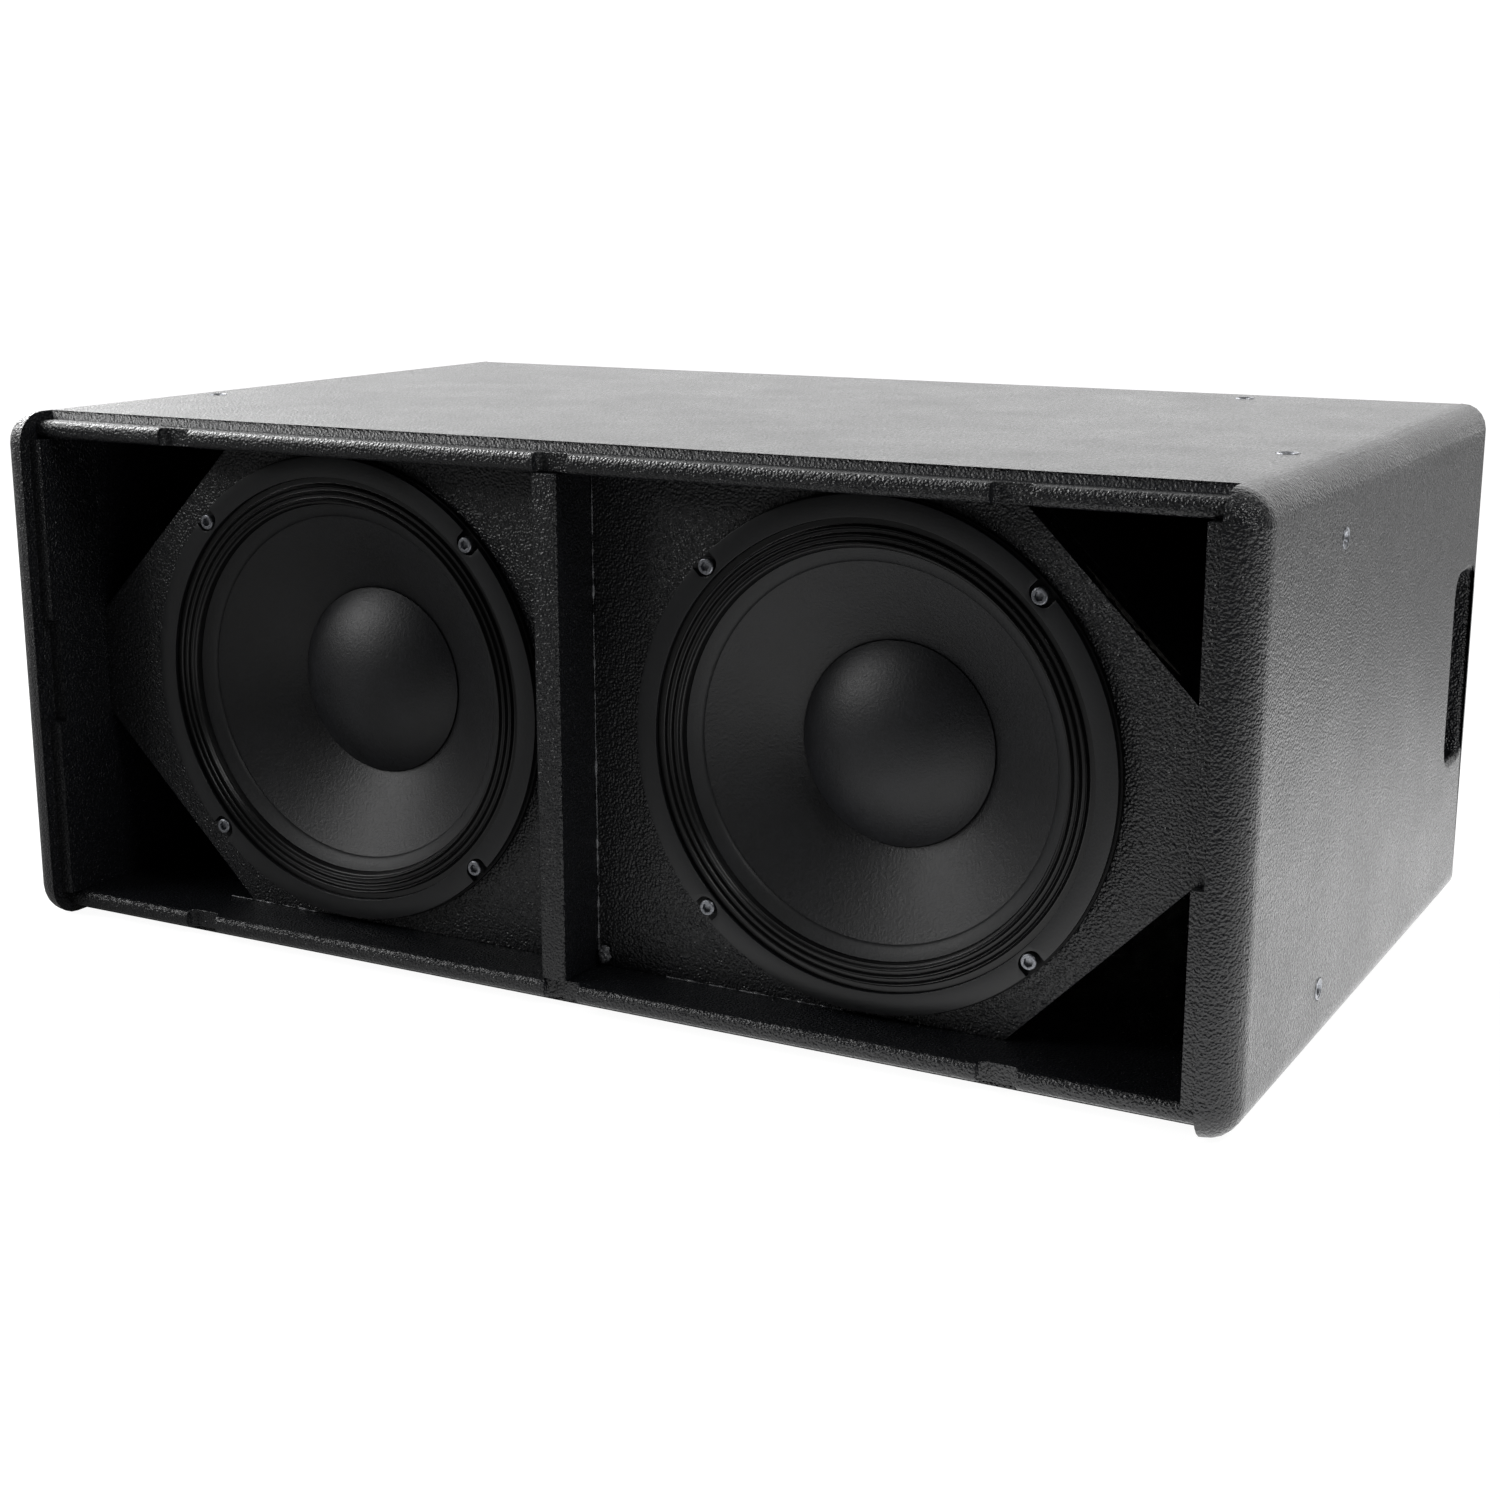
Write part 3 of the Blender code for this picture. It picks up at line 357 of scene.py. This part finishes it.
# %% [markdown]
# Pressed and turned round pieces are made as a section that spins round the driver's axis. The
# section is a closed loop of points (radius, depth), where depth runs back into the cabinet, and
# a full spin joins its last step to its first.

# %% Helpers for turned pieces
FINE = 144  # steps round a large ring: each is 6 mm long, too short to show as a flat


def spun(section, steps=FINE, closed=True):
    shape = bmesh.new()
    verts = [shape.verts.new((radius, 0, depth)) for radius, depth in section]
    pairs = list(zip(verts, verts[1:]))
    if closed:
        pairs.append((verts[-1], verts[0]))
    edges = [shape.edges.new(pair) for pair in pairs]
    bmesh.ops.spin(shape, geom=verts + edges, cent=(0, 0, 0), axis=(0, 0, 1), dvec=(0, 0, 0),
                   angle=2 * math.pi, steps=steps, use_merge=True, use_duplicate=False)
    bmesh.ops.remove_doubles(shape, verts=shape.verts, dist=1e-7)
    bmesh.ops.recalc_face_normals(shape, faces=shape.faces)
    return shape


def with_back(front, thickness):
    """A closed section from its front line, for a sheet of even depth."""
    return front + [(radius, depth + thickness) for radius, depth in reversed(front)]


def axis_of(side):
    """From a driver's own frame, whose +Z runs back from the gasket's face, to the cabinet's."""
    low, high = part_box(f"{side}_gasket_ring")
    centre = Vector(((low.x + high.x) / 2, low.y, (low.z + high.z) / 2))
    return Matrix.Translation(centre) @ Matrix.Rotation(-math.pi / 2, 4, "X")


def placed(shape, matrix):
    bmesh.ops.transform(shape, matrix=matrix, verts=shape.verts)
    return shape


def carved(shape, *cutters):
    """Subtracts closed shapes from a shape, by way of a Boolean."""
    solids = []
    for part in (shape, *cutters):
        mesh = bpy.data.meshes.new("carving")
        part.to_mesh(mesh)
        part.free()
        obj = bpy.data.objects.new("carving", mesh)
        bpy.context.scene.collection.objects.link(obj)
        solids.append(obj)
    body, *tools = solids
    for tool in tools:
        cut = body.modifiers.new("cut", "BOOLEAN")
        cut.operation = "DIFFERENCE"
        cut.object = tool
    bpy.context.view_layer.update()
    graph = bpy.context.evaluated_depsgraph_get()
    result = bmesh.new()
    result.from_mesh(bpy.data.meshes.new_from_object(body.evaluated_get(graph)))
    for obj in solids:
        bpy.data.objects.remove(obj)
    bmesh.ops.remove_doubles(result, verts=result.verts, dist=1e-6)
    return result


SCREW_CIRCLE = 0.1268
SCREW_ANGLES = [math.radians(a) for a in (45, 135, 225, 315)]


# %% [markdown]
# A driver's black parts differ mostly in how they were made. The gasket is dense fibre with a
# satin face, the frame is steel under a thin satin coat, the surround is cloth soaked in a
# rubbery coat that stays glossy in its folds, and cone and dust cap are pressed paper, matt and
# faintly mottled with fibres. The frame's coat is made darker and duller than the real one: it
# is painted shade for the screw pockets in the gasket, where the flange shows.

# %% Finishes of the drivers
def mottled(name, dark, light, grain, depth, shine, blotch=25.0, **constants):
    """A matt or satin skin: grain and blotch in millimetres, shine as for paint."""
    look, tree, shader = new_finish(name, **constants)
    place = add_node(tree, "ShaderNodeTexCoord").outputs["Object"]
    fine = add_node(tree, "ShaderNodeTexNoise", {
        "Vector": place, "Scale": per_metre(grain), "Detail": 4.0, "Roughness": 0.6})
    wide = add_node(tree, "ShaderNodeTexNoise", {
        "Vector": place, "Scale": per_metre(blotch), "Detail": 3.0})
    both = add_node(tree, "ShaderNodeMath", {
        0: fine.outputs["Fac"], 1: wide.outputs["Fac"]}, operation="MULTIPLY")
    bump = add_node(tree, "ShaderNodeBump", {
        "Height": fine.outputs["Fac"], "Strength": 0.6, "Distance": depth})
    colour = tint(tree, both.outputs["Value"], ((0.15, dark), (0.4, light)))
    sheen = spread(tree, fine.outputs["Fac"], *shine)
    tree.links.new(colour, shader.inputs["Base Color"])
    tree.links.new(sheen.outputs["Result"], shader.inputs["Roughness"])
    tree.links.new(bump.outputs["Normal"], shader.inputs["Normal"])
    return look


gasket_fibre = mottled("pressed_fibre_gasket", "#07080a", "#0d0e11", 1.2, 0.00012, (0.32, 0.42))
# The coat is darker and duller than the real one: painted shade for the gasket's screw pockets.
coat_with_painted_shade = mottled("satin_coated_steel_with_painted_shade", "#020203", "#050506", 1.5, 0.00005, (0.5, 0.62),
                     Specular_IOR_Level=0.2)
doped_cloth = mottled("doped_cloth", "#010102", "#040405", 1.0, 0.00010, (0.3, 0.42))
glue_band = mottled("edge_glue_band", "#070809", "#111215", 1.6, 0.00025, (0.45, 0.62))
cone_paper = mottled("pressed_cone_paper", "#070709", "#111215", 1.7, 0.00050, (0.42, 0.56), 22)
cap_paper = mottled("pressed_cap_paper", "#0b0c0f", "#17181c", 1.5, 0.00035, (0.42, 0.55), 18)
print("driver finishes mixed")


# %% [markdown]
# The gasket ring covers the frame's flange and stands up to the screw heads. Each of its four
# slots is open to the outside and round at its inner end. A circle whose outer half is pulled
# outwards gives that outline; pushed through the ring it cuts the slot.

# %% Gasket rings
GASKET = 0.0032


def slot_cutter(angle):
    shape = bmesh.new()
    bmesh.ops.create_circle(shape, cap_ends=True, segments=40, radius=0.0065)
    bmesh.ops.scale(shape, vec=(0.72, 1, 1), verts=shape.verts)
    outer = [v for v in shape.verts if v.co.x > 0]
    bmesh.ops.translate(shape, vec=(0.012, 0, 0), verts=outer)
    grown = bmesh.ops.extrude_face_region(shape, geom=shape.faces[:])
    top = [v for v in grown["geom"] if isinstance(v, bmesh.types.BMVert)]
    bmesh.ops.translate(shape, vec=(0, 0, 0.02), verts=top)
    bmesh.ops.translate(shape, vec=(SCREW_CIRCLE, 0, -0.01), verts=shape.verts)
    bmesh.ops.rotate(shape, matrix=Matrix.Rotation(angle, 3, "Z"), verts=shape.verts)
    bmesh.ops.recalc_face_normals(shape, faces=shape.faces)
    return shape


def gasket_ring(side):
    ring = spun([(0.1315, 0), (0.1315, GASKET), (0.1203, GASKET), (0.1203, 0)])
    ring = carved(ring, *(slot_cutter(a) for a in SCREW_ANGLES))
    soften(ring, 0.0005, 3)
    finished(f"{side}_gasket", placed(ring, axis_of(side)), gasket_fibre, "cabinet",
             (f"{side}_gasket_ring",))


for side in ("left", "right"):
    gasket_ring(side)


# %% [markdown]
# The frame that carries everything is pressed from sheet steel: a flat flange, a short straight
# wall, six legs that narrow towards the magnet, and a shelf for the spider. Six blocks cut the
# windows between the legs out of one spun shell.

# %% Frames
def window_cutter(angle):
    shape = bmesh.new()
    bmesh.ops.create_cube(shape, size=1.0)
    bmesh.ops.scale(shape, vec=(0.08, 0.044, 0.0365), verts=shape.verts)
    bmesh.ops.translate(shape, vec=(0.092, 0, 0.04625), verts=shape.verts)
    soften(shape, 0.006, 4)
    bmesh.ops.rotate(shape, matrix=Matrix.Rotation(angle, 3, "Z"), verts=shape.verts)
    return shape


def screw_bore(angle):
    shape = bmesh.new()
    bmesh.ops.create_cone(shape, cap_ends=True, segments=24, radius1=0.0028, radius2=0.0028,
                          depth=0.03)
    bmesh.ops.translate(shape, vec=(SCREW_CIRCLE, 0, 0), verts=shape.verts)
    bmesh.ops.rotate(shape, matrix=Matrix.Rotation(angle, 3, "Z"), verts=shape.verts)
    return shape


def driver_frame(side):
    section = [
        (0.0640, 0.0795), (0.0640, 0.0765), (0.1182, 0.0220), (0.1182, 0.0062),
        (0.1325, 0.0062), (0.1325, 0.0035), (0.1162, 0.0035), (0.1162, 0.0210),
        (0.0620, 0.0725), (0.0520, 0.0725), (0.0520, 0.0795),
    ]
    cutters = [window_cutter(math.radians(60 * i + 30)) for i in range(6)]
    cutters += [screw_bore(a) for a in SCREW_ANGLES]
    shell = soften(carved(spun(section), *cutters), 0.0004)
    finished(f"{side}_frame", placed(shell, axis_of(side)), coat_with_painted_shade, "cabinet",
             (f"{side}_basket",))


for side in ("left", "right"):
    driver_frame(side)


# %% [markdown]
# The cone is a shallow, slightly flared funnel of pressed paper, about a millimetre thick. Its
# front is given by one function of the radius, so that surround, dust cap and glue all sit on
# it. It rides on the moving body together with its dust cap.

# %% Cones and dust caps
NECK, RIM = 0.0332, 0.1065  # radii of the cone's inner and outer edges
NECK_DEPTH, RIM_DEPTH, FLARE = 0.0535, 0.0058, 0.0015
PAPER = 0.0011
CAP_EDGE = 0.0535  # the dust cap's radius


def cone_depth(radius):
    share = (radius - NECK) / (RIM - NECK)
    return NECK_DEPTH + (RIM_DEPTH - NECK_DEPTH) * share - FLARE * math.sin(math.pi * share)


def cone(side):
    steps = 28
    front = [(r, cone_depth(r)) for r in (NECK + (RIM - NECK) * k / steps for k in range(steps + 1))]
    finished(f"{side}_paper_cone", placed(spun(with_back(front, PAPER)), axis_of(side)),
             cone_paper, f"{side}_moving_cone", (f"{side}_cone",))


def dust_cap(side):
    """A thin dome, glued to the cone at its rim."""
    rise, wall = 0.0187, 0.0008
    sphere = (CAP_EDGE ** 2 + rise ** 2) / (2 * rise)
    reach = math.asin(CAP_EDGE / sphere)
    seat = cone_depth(CAP_EDGE) - 0.0003 - wall
    centre = seat - rise + sphere
    angles = [reach * k / 28 for k in range(29)]
    outer = [(sphere * math.sin(a), centre - sphere * math.cos(a)) for a in angles]
    inner = [((sphere - wall) * math.sin(a), centre - (sphere - wall) * math.cos(a))
             for a in reversed(angles)]
    dome = spun(outer + inner, closed=False)
    finished(f"{side}_cap", placed(dome, axis_of(side)), cap_paper, f"{side}_moving_cone",
             (f"{side}_dust_cap",))


for side in ("left", "right"):
    cone(side)
    dust_cap(side)


# %% [markdown]
# The surround lets the cone travel. Its cloth is bonded to the cone by a matt band of glue,
# folds into three narrow ridges, and is glued flat under the gasket. The spider, which centres
# the voice coil, is made the same way. Surround and spider ride on no body and do not follow
# the cone.

# %% Surrounds and spiders
def moves_by_radius(piece):
    """Bakes a round piece's place into its mesh; the piece rides on no body."""
    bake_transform(piece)


def edge_glue(side):
    """The matt band that bonds the surround's lap to the cone's front."""
    radii = [BAND_START + (BAND_END - BAND_START) * k / 6 for k in range(7)]
    lift = [0.0006, 0.0012, 0.0014, 0.0015, 0.0015, 0.0014, 0.0013]
    front = [(r, cone_depth(r) - up) for r, up in zip(radii, lift)]
    shape = spun(with_back(front, 0.0005))
    finished(f"{side}_edge_glue", placed(shape, axis_of(side)), glue_band,
             f"{side}_moving_cone")


def surround(side):
    cloth, land = 0.0007, 0.0027
    fold_in, fold_out, edge = 0.1058, 0.1176, 0.1200
    front = [(BAND_END + 0.0002, cone_depth(BAND_END) - 0.0013)]
    count = 72
    for k in range(count + 1):
        share = k / count
        wave = (0.5 - 0.5 * math.cos(6 * math.pi * share)) ** 3
        front.append((fold_in + (fold_out - fold_in) * share, land - 0.0023 * wave))
    front.append((edge, land))
    shape = placed(spun(with_back(front, cloth)), axis_of(side))
    piece = finished(f"{side}_pleated_surround", shape, doped_cloth, None,
                     (f"{side}_surround",), 70)
    moves_by_radius(piece)


def spider(side):
    inner, outer, level, cloth = 0.0334, 0.0606, 0.0716, 0.0006
    count = 48
    front = []
    for k in range(count + 1):
        share = k / count
        wave = 1 - math.cos(6 * math.pi * share)
        front.append((inner + (outer - inner) * share, level - 0.0012 * wave))
    shape = placed(spun(with_back(front, cloth), 96), axis_of(side))
    piece = finished(f"{side}_corrugated_spider", shape, spider_cloth, None,
                     (f"{side}_spider",), 60)
    moves_by_radius(piece)


spider_cloth = mottled("resin_stiffened_cloth", "#8a5a22", "#b8843c", 0.9, 0.00020, (0.7, 0.9))
BAND_START, BAND_END = 0.0975, 0.1048
for side in ("left", "right"):
    edge_glue(side)
    surround(side)
    spider(side)


# %% [markdown]
# Cap screws with a hexagon socket hold the drivers and the input plate. The head is a short
# cylinder with a small chamfer; a six-sided plug carves the socket.

# %% Screws
DRIVER_HEAD, DRIVER_SHANK = 0.0045, 0.018  # the plate's screws are the same, made smaller


def cap_screw(head_height, shank):
    """A screw whose head seats at the origin, with its face towards -Z."""
    head, stem, chamfer = 0.00425, 0.0024, 0.0005
    section = [
        (0, shank), (stem, shank), (stem, 0), (head, 0), (head, chamfer - head_height),
        (head - chamfer, -head_height), (0, -head_height),
    ]
    key = bmesh.new()
    bmesh.ops.create_cone(key, cap_ends=True, segments=6, radius1=0.0026, radius2=0.0026,
                          depth=0.0052 * head_height / DRIVER_HEAD)
    bmesh.ops.translate(key, vec=(0, 0, -head_height), verts=key.verts)
    return soften(carved(spun(section, 32, closed=False), key), 0.00012)


def drive_screw(node, towards_back):
    low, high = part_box(node)
    x, z = (low.x + high.x) / 2, (low.z + high.z) / 2
    share = (high.y - low.y) / (DRIVER_HEAD + DRIVER_SHANK)
    height = DRIVER_HEAD * share
    seat = low.y + height if towards_back else high.y - height
    turn = -math.pi / 2 if towards_back else math.pi / 2
    screw = cap_screw(height, DRIVER_SHANK * share)
    place = Matrix.Translation((x, seat, z)) @ Matrix.Rotation(turn, 4, "X")
    place = place @ Matrix.Rotation(x * 40 + z * 25, 4, "Z")  # each key is left at its own angle
    finished(f"{node}_turned", placed(screw, place), oxide_steel, "cabinet", (node,),
             30)


def turned_steel(name, dark, light, shine):
    """Machined steel: fine marks from the tool, as streaks of roughness."""
    look, tree, shader = new_finish(name, Metallic=1.0)
    place = add_node(tree, "ShaderNodeTexCoord").outputs["Object"]
    marks = add_node(tree, "ShaderNodeTexNoise", {
        "Vector": place, "Scale": per_metre(0.8), "Detail": 3.0})
    tree.links.new(tint(tree, marks.outputs["Fac"], ((0.3, dark), (0.7, light))),
                   shader.inputs["Base Color"])
    tree.links.new(spread(tree, marks.outputs["Fac"], *shine).outputs["Result"],
                   shader.inputs["Roughness"])
    bump = add_node(tree, "ShaderNodeBump", {
        "Height": marks.outputs["Fac"], "Strength": 0.3, "Distance": 0.00003})
    tree.links.new(bump.outputs["Normal"], shader.inputs["Normal"])
    return look


oxide_steel = turned_steel("black_oxide_steel", "#5c5e63", "#a2a4a9", (0.3, 0.45))
zinc_plate = turned_steel("zinc_plated_steel", "#8d9094", "#b9bcc0", (0.25, 0.42))
for side in ("left", "right"):
    for i in range(1, 5):
        drive_screw(f"{side}_driver_screw_{i}", True)
for i in range(1, 5):
    drive_screw(f"input_screw_{i}", False)


# %% [markdown]
# Steel inserts take bracket bolts. Their rolled rim stands a little proud of the paint. Inside
# the bore a row of ridges stands for the thread, one every millimetre.

# %% Threaded inserts
def insert(node):
    low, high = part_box(node)
    centre = (low + high) / 2
    outer, length = 0.0058, 0.0145
    pitch, bore, crest = 0.001, 0.0026, 0.0021
    section = [(outer, -0.0004), (outer, -length), (bore, -length)]
    depth = 0.0005 - length
    while depth < -0.0018:
        section += [(bore, depth), (crest, depth + pitch / 2)]
        depth += pitch
    section += [(bore, -0.0009), (0.0034, 0), (outer - 0.0012, 0), (outer - 0.0009, 0.0003),
                (outer - 0.0003, 0.0003)]
    if centre.z > high.z - length and high.z - low.z > length - 0.0005:  # its mouth is up
        place = Matrix.Translation((centre.x, centre.y, high.z))
    else:
        outward = math.copysign(1, centre.x)
        mouth = high.x if outward > 0 else low.x
        place = Matrix.Translation((mouth, centre.y, centre.z)) @ Matrix.Rotation(
            outward * math.pi / 2, 4, "Y")
    finished(f"{node}_steel", placed(spun(section, 32), place), oxide_steel, "cabinet", (node,),
             30)


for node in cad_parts:
    if node.endswith("_insert") or node.startswith("top_insert"):
        insert(node)


# %% [markdown]
# Traces of the workshop: a thin bead of glue runs down the corner between divider and baffle
# and ends in a lump, and two more lie along the baffle's foot. Their pale, glossy colour is
# painted highlight along these joints. A ragged pale strip on the cut edge of one port opening
# is painted light: the patch of lamp light that falls on that cut face.

# %% Glue with painted highlight, and painted light on a cut edge
def lumpy(shape, size, wander):
    """Pushes every vertex along its normal by a smooth noise of this size."""
    shape.normal_update()
    moves = [(v, v.normal * noise.noise(v.co / size) * wander) for v in shape.verts]
    for vert, move in moves:
        vert.co += move
    return shape


def glue_lump(name, centre, radii):
    shape = bmesh.new()
    bmesh.ops.create_icosphere(shape, subdivisions=4, radius=1.0)
    bmesh.ops.scale(shape, vec=radii, verts=shape.verts)
    bmesh.ops.translate(shape, vec=centre, verts=shape.verts)
    finished(name, lumpy(shape, 0.0016, 0.0011), glue_with_painted_highlight, "cabinet")


def glue_bead(name, start, end):
    length = (end - start).length
    shape = bmesh.new()
    bmesh.ops.create_cone(shape, cap_ends=True, segments=10, radius1=0.0005, radius2=0.0003,
                          depth=length)
    bmesh.ops.subdivide_edges(shape, edges=[e for e in shape.edges if abs(
        e.verts[0].co.z - e.verts[1].co.z) > 0.001], cuts=90)
    turn = (end - start).to_track_quat("Z", "Y").to_matrix().to_4x4()
    placed(shape, Matrix.Translation((start + end) / 2) @ turn)
    finished(name, lumpy(shape, 0.004, 0.0009), glue_with_painted_highlight, "cabinet")


def lit_patch_strip(name, start, end, width):
    """Painted light: a ragged pale strip on the port's cut edge, from start to end at its back rim.
    """
    shape = bmesh.new()
    steps = 40
    along = end - start
    outward = Vector((1, 0, 1)).normalized() * 0.00015
    rims = ([], [])
    for k in range(steps + 1):
        share = k / steps
        spot = start + along * share + outward
        swell = math.sin(math.pi * share) ** 0.6
        ragged = 0.65 + 0.7 * noise.noise(Vector((share * 17, 3.1, 0)))
        rims[0].append(shape.verts.new(spot))
        rims[1].append(shape.verts.new(spot - Vector((0, width * swell * ragged + 0.0004, 0))))
    for k in range(steps):
        shape.faces.new((rims[0][k], rims[0][k + 1], rims[1][k + 1], rims[1][k]))
    bmesh.ops.solidify(shape, geom=shape.faces[:], thickness=0.0001)
    finished(name, shape, painted_edge_light, "cabinet")


# The beads' shape is glue; their pale, glossy colour is painted highlight along the joints.
glue_with_painted_highlight = mottled("glue_with_painted_highlight", "#232427", "#77787b", 1.2, 0.00040, (0.15, 0.4), 4)
# A pale colour for painted light on the port's cut edge, where a lamp's patch falls.
painted_edge_light = mottled("painted_edge_light", "#8f8d89", "#efede8", 1.6, 0.00040, (0.4, 0.7), 5)
FOOT_BEADS = {"left": (-0.256, -0.19), "right": (0.045, 0.15)}  # from one x to another
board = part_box("baffle")
corner = Vector((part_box("front_divider")[1].x, board[0].y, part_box("bottom_panel")[1].z))
glue_bead("divider_glue_bead", corner + Vector((0.0003, -0.0003, 0.009)),
          Vector((corner.x + 0.0003, corner.y - 0.0003, board[1].z - 0.004)))
# The pale foot beads are painted highlight along the baffle's foot.
for side, (first_x, last_x) in FOOT_BEADS.items():
    foot = corner + Vector((0, -0.0002, 0.0003))
    glue_bead(f"{side}_foot_bead", Vector((first_x, foot.y, foot.z)),
              Vector((last_x, foot.y, foot.z)))
glue_lump("divider_glue_lump", corner + Vector((0.005, -0.0022, 0.0075)),
          (0.0036, 0.0024, 0.0052))
# Painted light: a pale strip where lamp light falls on the cut face of the upper right port.
lit_patch_depth = board[0].y + 0.0079
lit_patch_strip("painted_light_port_edge", Vector((0.2700, lit_patch_depth, 0.2537)),
             Vector((0.3180, lit_patch_depth, 0.2057)), 0.0075)


# %% [markdown]
# The rest keeps the shape of the solids. Moulded handle cups and the input plate with its two
# sockets get softened edges; bare birch inside, the magnets and the other inner solids keep their
# own mesh and get only a finish. Most of it is hidden.

# %% Handles, connections and inner parts
def birch_ply(name):
    """Bare plywood: long grain along X, with early and late wood in thin streaks."""
    look, tree, shader = new_finish(name, Roughness=0.6)
    place = add_node(tree, "ShaderNodeTexCoord").outputs["Object"]
    pulled = add_node(tree, "ShaderNodeMapping", {"Vector": place, "Scale": (6.0, 1.0, 1.0)})
    grain = add_node(tree, "ShaderNodeTexNoise", {
        "Vector": pulled.outputs["Vector"], "Scale": per_metre(12), "Detail": 6.0})
    tree.links.new(tint(tree, grain.outputs["Fac"], ((0.3, "#b08a5a"), (0.7, "#d8b98a"))),
                   shader.inputs["Base Color"])
    bump = add_node(tree, "ShaderNodeBump", {
        "Height": grain.outputs["Fac"], "Strength": 0.3, "Distance": 0.0002})
    tree.links.new(bump.outputs["Normal"], shader.inputs["Normal"])
    return look


birch = birch_ply("birch_plywood")
moulded = mottled("moulded_black_plastic", "#101113", "#17181a", 0.9, 0.00010, (0.4, 0.55))
ferrite = mottled("sintered_ferrite", "#2a2b2d", "#36373a", 1.5, 0.00010, (0.5, 0.65))
copper = turned_steel("enamelled_copper", "#9a4f28", "#c87a45", (0.3, 0.45))
red_sheath = mottled("soft_red_sheath", "#6e0d0f", "#8a1416", 2.0, 0.00005, (0.4, 0.5))

softened = {
    "left_handle_cup": (moulded, "handle_plastic"),
    "right_handle_cup": (moulded, "handle_plastic"),
    "input_plate": (coat_with_painted_shade, "black_coated_steel"),
    "input_socket": (moulded, "connector_plastic"),
    "link_socket": (moulded, "connector_plastic"),
}
for node, (look, slot) in softened.items():
    finished(f"{node}_moulded", soften(merged_copy(node), 0.0004), look, "cabinet", (node,))

kept = {
    birch: ["centre_brace"],
    inner_paint: [f"{side}_{level}_port_board" for side in ("left", "right")
                  for level in ("top", "bottom")],
    copper: ["left_voice_coil", "right_voice_coil"],
    ferrite: ["left_magnet", "right_magnet"],
    zinc_plate: [f"{side}_{iron}" for side in ("left", "right")
                 for iron in ("front_plate", "pole_yoke")],
    moulded: ["left_terminal_block", "right_terminal_block"],
    red_sheath: ["left_lead", "right_lead"],
}
for look, names in kept.items():
    for node in names:
        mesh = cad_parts[node].data
        mesh.materials.clear()
        mesh.materials.append(look)
print(sum(map(len, kept.values())), "solids keep their own mesh")
